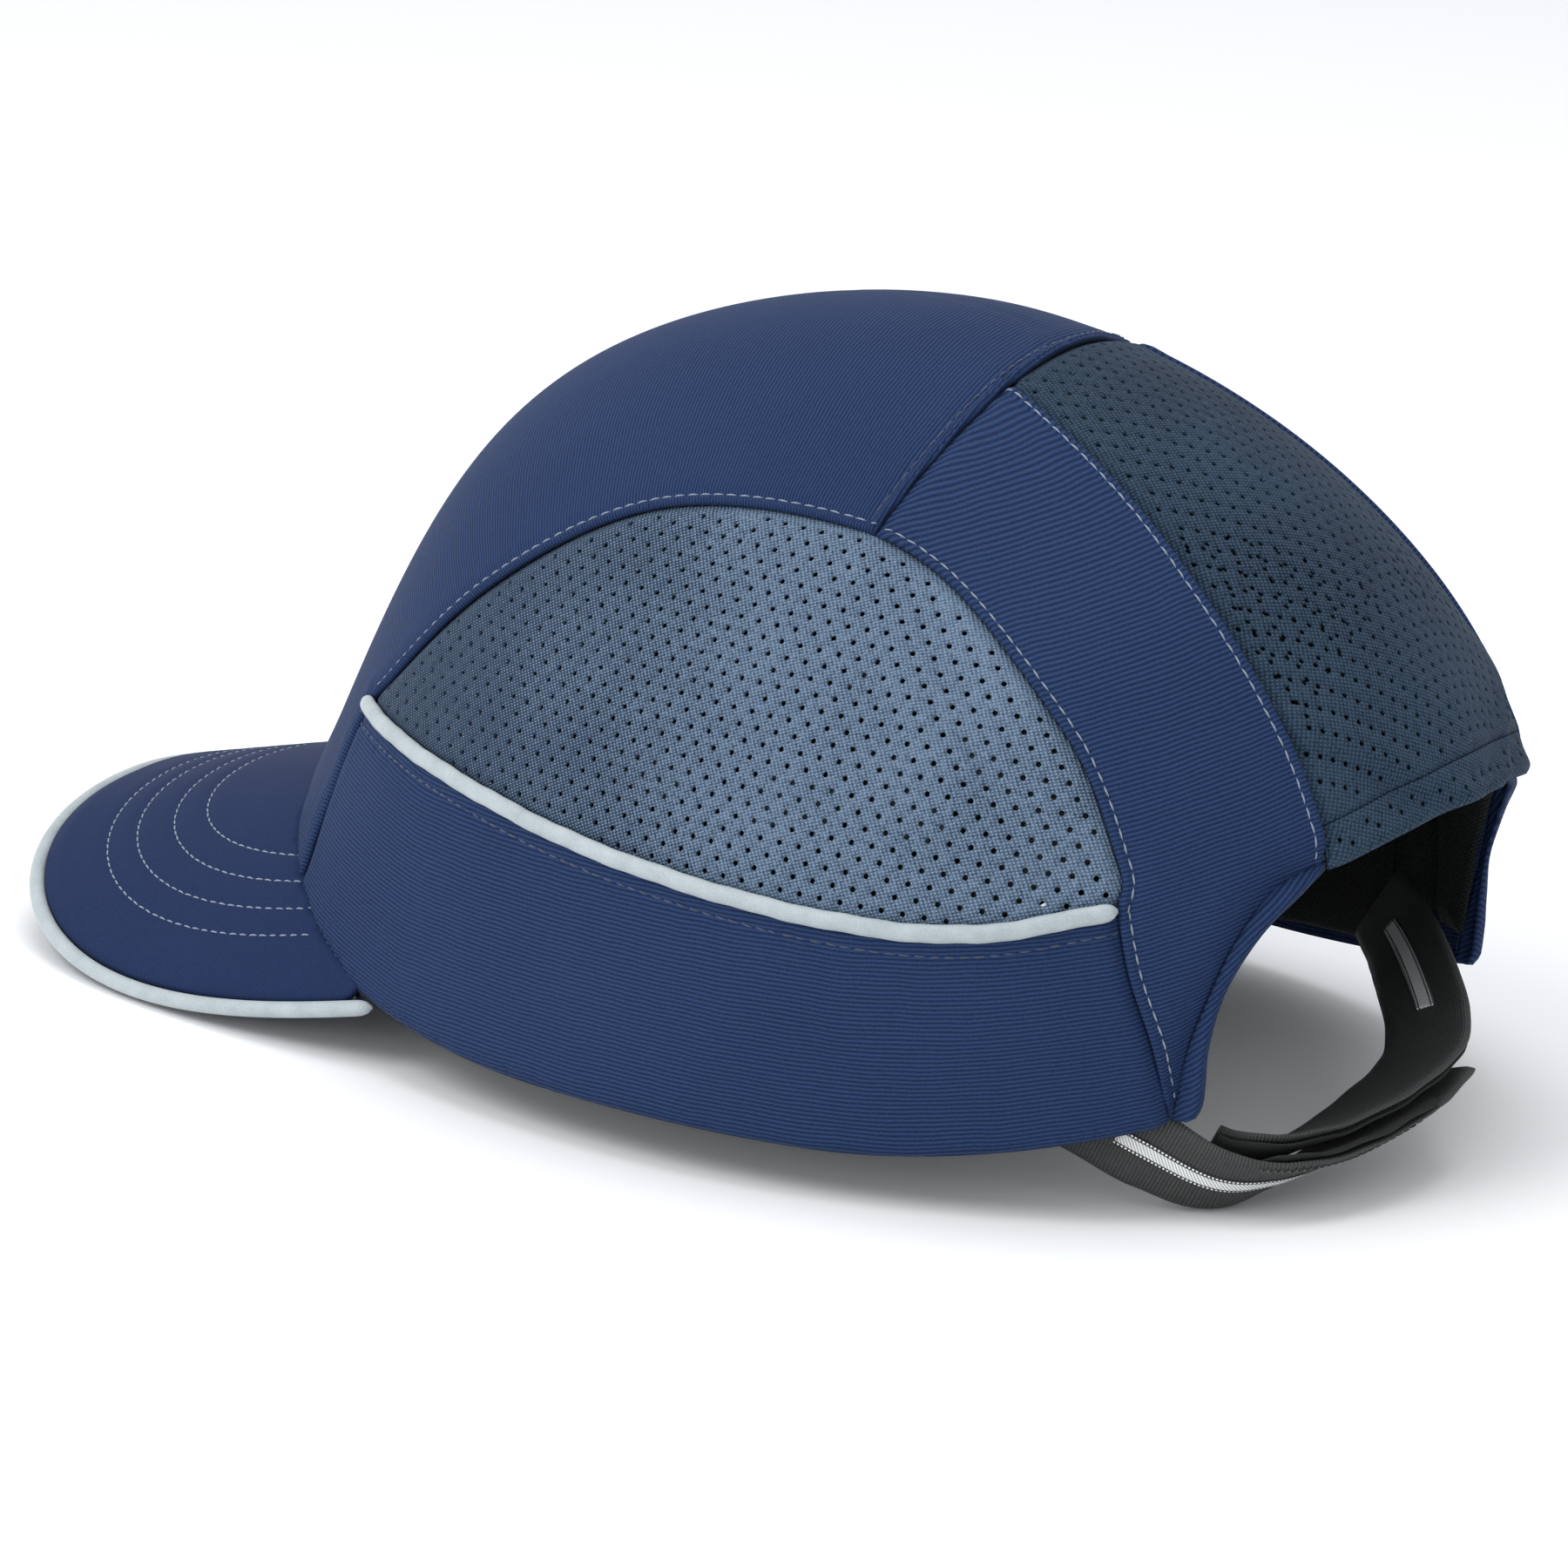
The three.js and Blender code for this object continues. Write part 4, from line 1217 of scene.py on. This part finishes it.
def loop_frames(at):
    """Points and frames of the strap loop at places given as loop-point indexes."""
    p = np.array([k[:3] for k in STRAP_LOOP], float)
    ends = np.vstack([2 * p[0] - p[1], p, 2 * p[-1] - p[-2]])
    whole = np.clip(np.floor(at).astype(int), 0, len(p) - 2)
    t = (at - whole)[:, None]
    a, b, c, d = (ends[whole + k] for k in range(4))
    pairs = ((a, b), (b, c), (c, d))
    before, here, after = (np.sqrt(np.linalg.norm(q - p, axis=1))[:, None] for p, q in pairs)
    leave = ((b - a) / before - (c - a) / (before + here) + (c - b) / here) * here
    reach = ((c - b) / here - (d - b) / (here + after) + (d - c) / after) * here
    square, cube = 3 * (c - b) - 2 * leave - reach, 2 * (b - c) + leave + reach
    point = b + leave * t + square * t**2 + cube * t**3
    along = unit(leave + 2 * square * t + 3 * cube * t**2)
    turn = np.radians(np.interp(at, np.arange(len(p)), [k[3] for k in STRAP_LOOP]))[:, None]
    outward = unit(np.stack([along[:, 1], -along[:, 0], np.zeros(len(at))], -1))
    upward = unit(np.cross(outward, along))
    upward = np.where(upward[:, 2:] < 0, -upward, upward)
    across = upward * np.cos(turn) + outward * np.sin(turn)
    face = outward * np.cos(turn) - upward * np.sin(turn)
    return point, along, across, face


# A strip's shares: how much of its half width it has below and above its middle at a place.


def cut_corner(start, end):
    """Shares that narrow the upper side at first, like a tape cut with a slanting end."""
    return lambda at: (1.0, 0.35 + 0.65 * float(smooth_step(at, start, end)))


def pointed(start, end):
    """Shares that narrow the lower side towards the end."""
    return lambda at: (1 - 0.85 * float(smooth_step(at, start, end)), 1.0)


def strip(name, start, end, half, thick, out, ripple=0.0, shares=lambda at: (1.0, 1.0), step=0.07):
    """Webbing along the loop, out mm outside its path, with rounded and rippled edges."""
    at = np.arange(start, end + step / 2, step)
    at[-1] = end
    point, _, across, face = loop_frames(at)
    walk = walk_along(point)
    width = np.linspace(1, -1, 13)
    rounding = np.sqrt(np.clip(1 - np.abs(width) ** 8, 0.06, 1))
    section = [*zip(width, rounding), *zip(width[::-1], -rounding)]
    points, uv = [], []
    for k, place in enumerate(at):
        low, high = shares(place)
        wave = ripple * math.sin(walk[k] * 0.55)
        for w, r in section:
            side = w * half * (high if w > 0 else low)
            lift = out + r * thick / 2 + wave * abs(w) ** 3
            points.append(point[k] + across[k] * side + face[k] * lift)
            uv.append((walk[k], side))
    return make_object(name, points, skin(len(at), len(section)), uv)


def make_straps(materials):
    half, thick = STRAP_HALF, STRAP_THICK
    near = strip("strap_left_webbing", 0.0, TAB_START, half, thick, 0, 0.12)
    tab_shares = pointed(5.6, TAB_END)
    tab = strip("strap_tab_webbing", TAB_START - 0.04, TAB_END, half, thick, 0, 0.2, tab_shares, 0.04)
    shine = strip("stripe_left_silver", 0.7, TAB_START, STRIPE_HALF, STRIPE_THICK, thick / 2 + 0.1)
    hook_shares = cut_corner(2.35, 2.9)
    hook_out = -thick / 2 - 0.5
    hook = strip("hook_patch_pile", 2.35, TAB_START, half + 0.6, 1.0, hook_out, 0.25, hook_shares)
    far = strip("strap_right_webbing", 1.75, 10.75, half, thick, RIGHT_LAYER, 0.08)
    glint_out = RIGHT_LAYER - thick / 2 - 0.1
    glint = strip("stripe_right_silver", 7.2, 10.1, STRIPE_HALF, STRIPE_THICK, glint_out)
    loops_out = RIGHT_LAYER + thick / 2 + 0.6
    loops = strip("loop_patch_pile", 1.75, 6.6, half - 0.8, 1.2, loops_out, 0.15)

    # Where the straps bend: the bodies on each side, the stretch between them and its layer.
    near_root = ("cap", "strap_left", 1.3, 1.7, 0)
    tab_root = ("strap_left", "strap_tab", 5.3, 5.42, 0)
    far_root = ("strap_right", "cap", 9.75, 10.2, RIGHT_LAYER)
    for obj, slot, nodes, (first, second, start, end, out) in (
        (near, "webbing", ["strap_root_left", "strap_left"], near_root),
        (tab, "webbing", ["strap_tab"], tab_root),
        (shine, "stripe", ["stripe_left"], near_root),
        (far, "webbing", ["strap_root_right", "strap_right"], far_root),
        (glint, "stripe", ["stripe_right"], far_root),
    ):
        obj.data.materials.append(materials[slot])
        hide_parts(*nodes)
        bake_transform(obj)
    for obj, node, body in ((hook, "hook_patch", "strap_left"), (loops, "loop_patch", "strap_right")):
        obj.data.materials.append(materials["pile"])
        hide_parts(node)
        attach(obj, body)
    zigzag(materials)


def zigzag(materials):
    """Zigzag stitches that hold the hook tape along the near strap's upper edge."""
    at = np.arange(2.6, TAB_START - 0.05, 0.055)
    point, along, across, face = loop_frames(at)
    side = np.where(np.arange(len(at)) % 2, 1.0, -1.0)[:, None]
    middle = point + across * (STRAP_HALF - 1.8) + face * (STRAP_THICK / 2 + 0.12)
    slanted = unit(along * 0.5 + across * side)
    obj = capsules("hook_stitches", middle, slanted, face, 1.9, 0.17, materials["black_thread"])
    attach(obj, "strap_left")


# ---------------------------------------------------------------- inside

SHELL_EDGE = [(-150, 24), (10, 26), (45, 34), (75, 56), (88, 64), (150, 66)]
SWEATBAND_TOP = [(64, 36), (0, 36), (-60, 39), (-150, 46)]
SWEATBAND_BOTTOM = [(64, 6), (25, 2), (-25, 2), (-65, 6), (-97, 16), (-150, 22)]
SIDE_VENTS = [(56, (-42, -13, 16, 44)), (74, (-27, 2, 31))]
TOP_VENT_X = 24


def rounded(width, height, radius, a, b, count=56):
    """Rounded rectangle in a view, as (a, b) points."""
    turn = np.linspace(0, 2 * math.pi, count, endpoint=False)
    cos, sin = np.cos(turn), np.sin(turn)
    return np.stack([
        a + np.sign(cos) * (width / 2 - radius) + radius * cos,
        b + np.sign(sin) * (height / 2 - radius) + radius * sin,
    ], -1)


def layer_mesh(name, outlines, keep, spacing, outer, inner):
    """Closed layer under the dome.

    outer and inner give its faces' offsets from the distance to its edge and the dome's points.
    """
    edges = [on_dome(line) for line in outlines]
    reach = max(np.hypot(*line.T).max() for line in outlines) + 2
    grid = clear_of(hexagonal(reach, spacing), outlines, 1.7)
    near = [clear_of(beside(line, way * 0.9), outlines, 0.5) for line in outlines for way in (-1, 1)]
    lines = {f"line{k}": line for k, line in enumerate(outlines)}
    chart, faces = triangulate(lines, np.vstack([grid, *near]), set(lines))
    faces = faces[keep(chart[faces].mean(axis=1))]
    faces, (chart,) = used_only(faces, chart)
    points = on_dome(chart)
    away = np.min([distance(points, edge, closed=True) for edge in edges], axis=0)
    return dome_sheet(name, chart, faces, outer(away, points), inner(away, points), band_cloth(points))


def side_line(points, count):
    """Chart line over both sides of the cap from side-view points that run to its front."""
    left = side_to_chart(resample(np.asarray(points, float), count))
    left = left[left[:, 0] > 0.3]
    return np.vstack([left, flipped(left)[::-1]])


def make_shell(materials):
    edge = side_line(SHELL_EDGE[::-1], 150)
    vents = []
    for z, at in SIDE_VENTS:
        for y in at:
            slot = side_to_chart(rounded(20, 8, 3.8, y, z, 36))
            vents += [slot, flipped(slot)]
    for x in (-TOP_VENT_X, TOP_VENT_X):
        vents.append(plan_to_chart(rounded(8, 44, 3.8, x, 0, 48)))

    def keep(points):
        solid = inside(points, edge)
        for vent in vents:
            solid &= ~inside(points, vent)
        return solid

    obj = layer_mesh(
        "shell_moulding", [edge, *vents], keep, 2.2,
        lambda d, p: -2.0 - 0.35 * bell(d, 0, 0.6),
        lambda d, p: -4.1 + 0.35 * bell(d, 0, 0.6),
    )
    dress(obj, "shell", materials["shell"])


def make_pads(materials):
    # The pads are real parts. Their pale colour is painted light: it makes the shell's vents show bright
    # patches where light shines through the cap.
    # Each pad's size in its view: width, height, corner radius and centre.
    side = side_to_chart(rounded(84, 22, 8, 0, 52))
    outlines = {
        "pad_rear": rear_to_chart(rounded(58, 24, 8, 0, 82)),
        "pad_left": side,
        "pad_right": flipped(side),
        "pad_crown": plan_to_chart(rounded(62, 84, 12, 0, -4)),
        "pad_front": front_to_chart(rounded(92, 22, 8, 0, 63)),
    }
    for name, outline in outlines.items():
        obj = layer_mesh(
            f"{name}_foam", [outline], lambda points, o=outline: inside(points, o), 2.4,
            lambda d, p: -4.5 - 0.8 * bell(d, 0, 1.2),
            lambda d, p: -5.6 - 4.4 * np.sqrt(np.clip(1 - (1 - np.clip(d / 5.0, 0, 1)) ** 2, 0, 1)),
        )
        dress(obj, name, materials["foam"])


def sweatband_inside(gap, points):
    """Offset of the sweatband's inner face: padded, with ripples across it."""
    ripple = 0.25 * np.cos(points[:, 1] * 0.35) * smooth_step(gap, 2, 6)
    return -5.4 - 1.5 * np.sqrt(np.clip(gap / 6, 0, 1)) + ripple


def make_sweatband(materials):
    top = side_line(SWEATBAND_TOP, 130)
    low = side_line(SWEATBAND_BOTTOM, 130)
    outline = np.vstack([top, low[::-1]])
    obj = layer_mesh(
        "sweatband_padding", [outline], lambda points: inside(points, outline), 2.0,
        lambda d, p: -4.4 - 0.4 * bell(d, 0, 1.0),
        sweatband_inside,
    )
    dress(obj, "sweatband", materials["lining"])


def make_linings(materials):
    """Padded black linings inside the rear side panels, each with one upright sewn channel."""
    left = rear_to_chart(np.vstack([
        spline([(54.5, 15), (54, 24), (52.3, 33), (47.8, 42), (41.8, 48.8), (38.5, 52)], 34),
        spline([(38.5, 52), (52, 52), (63.5, 52)], 14)[1:],
        spline([(63.5, 52), (68, 40), (71.5, 28), (73.5, 15)], 22)[1:],
        spline([(73.5, 15), (64, 15), (54.5, 15)], 14)[1:-1],
    ]))
    for side, outline in (("left", left), ("right", flipped(left))):
        obj = layer_mesh(
            f"rear_lining_{side}_padding", [outline], lambda points, o=outline: inside(points, o), 1.2,
            lambda d, p: -3.1 - 0.2 * bell(d, 0, 0.8),
            lambda d, p: -3.6 - 1.7 * np.sqrt(np.clip(d / 4.5, 0, 1)) + bell(np.abs(p[:, 0]), 61.5, 0.9),
        )
        dress(obj, f"rear_lining_{side}", materials["lining"])


# ---------------------------------------------------------------- studio

CAMERA_AZIMUTH = math.radians(120.16)
CAMERA_ELEVATION = math.radians(15.93)
CAMERA_ROLL = math.radians(2.78)
CAMERA_DISTANCE = 1.1586
CAMERA_TARGET = Vector((-0.0001, 0.0023, 0.0424))
FLOOR_HALF = 6.0

# Soft lights: name, direction from the cap, distance, disc size and watts.
LIGHTS = [
    ("key", (0.8, -0.5, 1.0), 1.6, 1.0, 8),
    ("low", (1.0, -0.35, 0.1), 1.9, 1.2, 12),
    ("top", (-0.1, 0.0, 1.6), 1.6, 1.2, 9),
]


def look_from(direction, distance, target, roll=0.0):
    """World matrix of something at target + direction * distance that faces target."""
    d = Vector(direction).normalized()
    right = (-d).cross(Vector((0, 0, 1))).normalized()
    up = right.cross(-d)
    x = right * math.cos(roll) + up * math.sin(roll)
    y = -right * math.sin(roll) + up * math.cos(roll)
    matrix = Matrix((x, y, d)).transposed().to_4x4()
    matrix.translation = Vector(target) + d * distance
    return matrix


def soft_light(name, direction, distance, size, watts):
    lamp = bpy.data.lights.new(name, "AREA")
    lamp.shape = "DISK"
    lamp.size = size
    lamp.energy = watts
    obj = bpy.data.objects.new(name, lamp)
    obj.matrix_world = look_from(direction, distance, (0, 0, 0.06))
    bpy.context.scene.collection.objects.link(obj)


def make_studio():
    mesh = bpy.data.meshes.new("floor")
    corners = [(x * FLOOR_HALF, y * FLOOR_HALF, 0) for x, y in ((-1, -1), (1, -1), (1, 1), (-1, 1))]
    mesh.from_pydata(corners, [], [(0, 1, 2, 3)])
    floor = bpy.data.objects.new("floor", mesh)
    bpy.context.scene.collection.objects.link(floor)
    n = Nodes("floor", 0.9)
    mesh.materials.append(n.finish((0.93, 0.935, 0.94, 1)))
    world = bpy.data.worlds.new("studio")
    world.use_nodes = True
    sky = world.node_tree.nodes["Background"]
    sky.inputs["Color"].default_value = (0.95, 0.97, 1.0, 1)
    sky.inputs["Strength"].default_value = 0.82
    bpy.context.scene.world = world
    for light in LIGHTS:
        soft_light(*light)
    camera = bpy.data.cameras.new("camera")
    camera.lens = 150
    camera.sensor_width = 36
    camera.clip_start = 0.01
    eye = bpy.data.objects.new("camera", camera)
    direction = (
        math.sin(CAMERA_AZIMUTH) * math.cos(CAMERA_ELEVATION),
        -math.cos(CAMERA_AZIMUTH) * math.cos(CAMERA_ELEVATION),
        math.sin(CAMERA_ELEVATION),
    )
    eye.matrix_world = look_from(direction, CAMERA_DISTANCE, CAMERA_TARGET, CAMERA_ROLL)
    bpy.context.scene.collection.objects.link(eye)
    bpy.context.scene.camera = eye
    bpy.context.scene.view_settings.view_transform = "Standard"


def main():
    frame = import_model()
    materials = make_materials()
    lines = seam_lines()
    make_panels(materials, lines)
    make_stitches(materials, lines)
    make_side_piping(materials, lines)
    make_peak(materials)
    make_straps(materials)
    make_shell(materials)
    make_pads(materials)
    make_sweatband(materials)
    make_linings(materials)
    board = frame["nodes"]["peak_board"]
    board.data.materials.clear()
    board.data.materials.append(materials["shell"])
    make_studio()
    bpy.context.view_layer.update()


main()
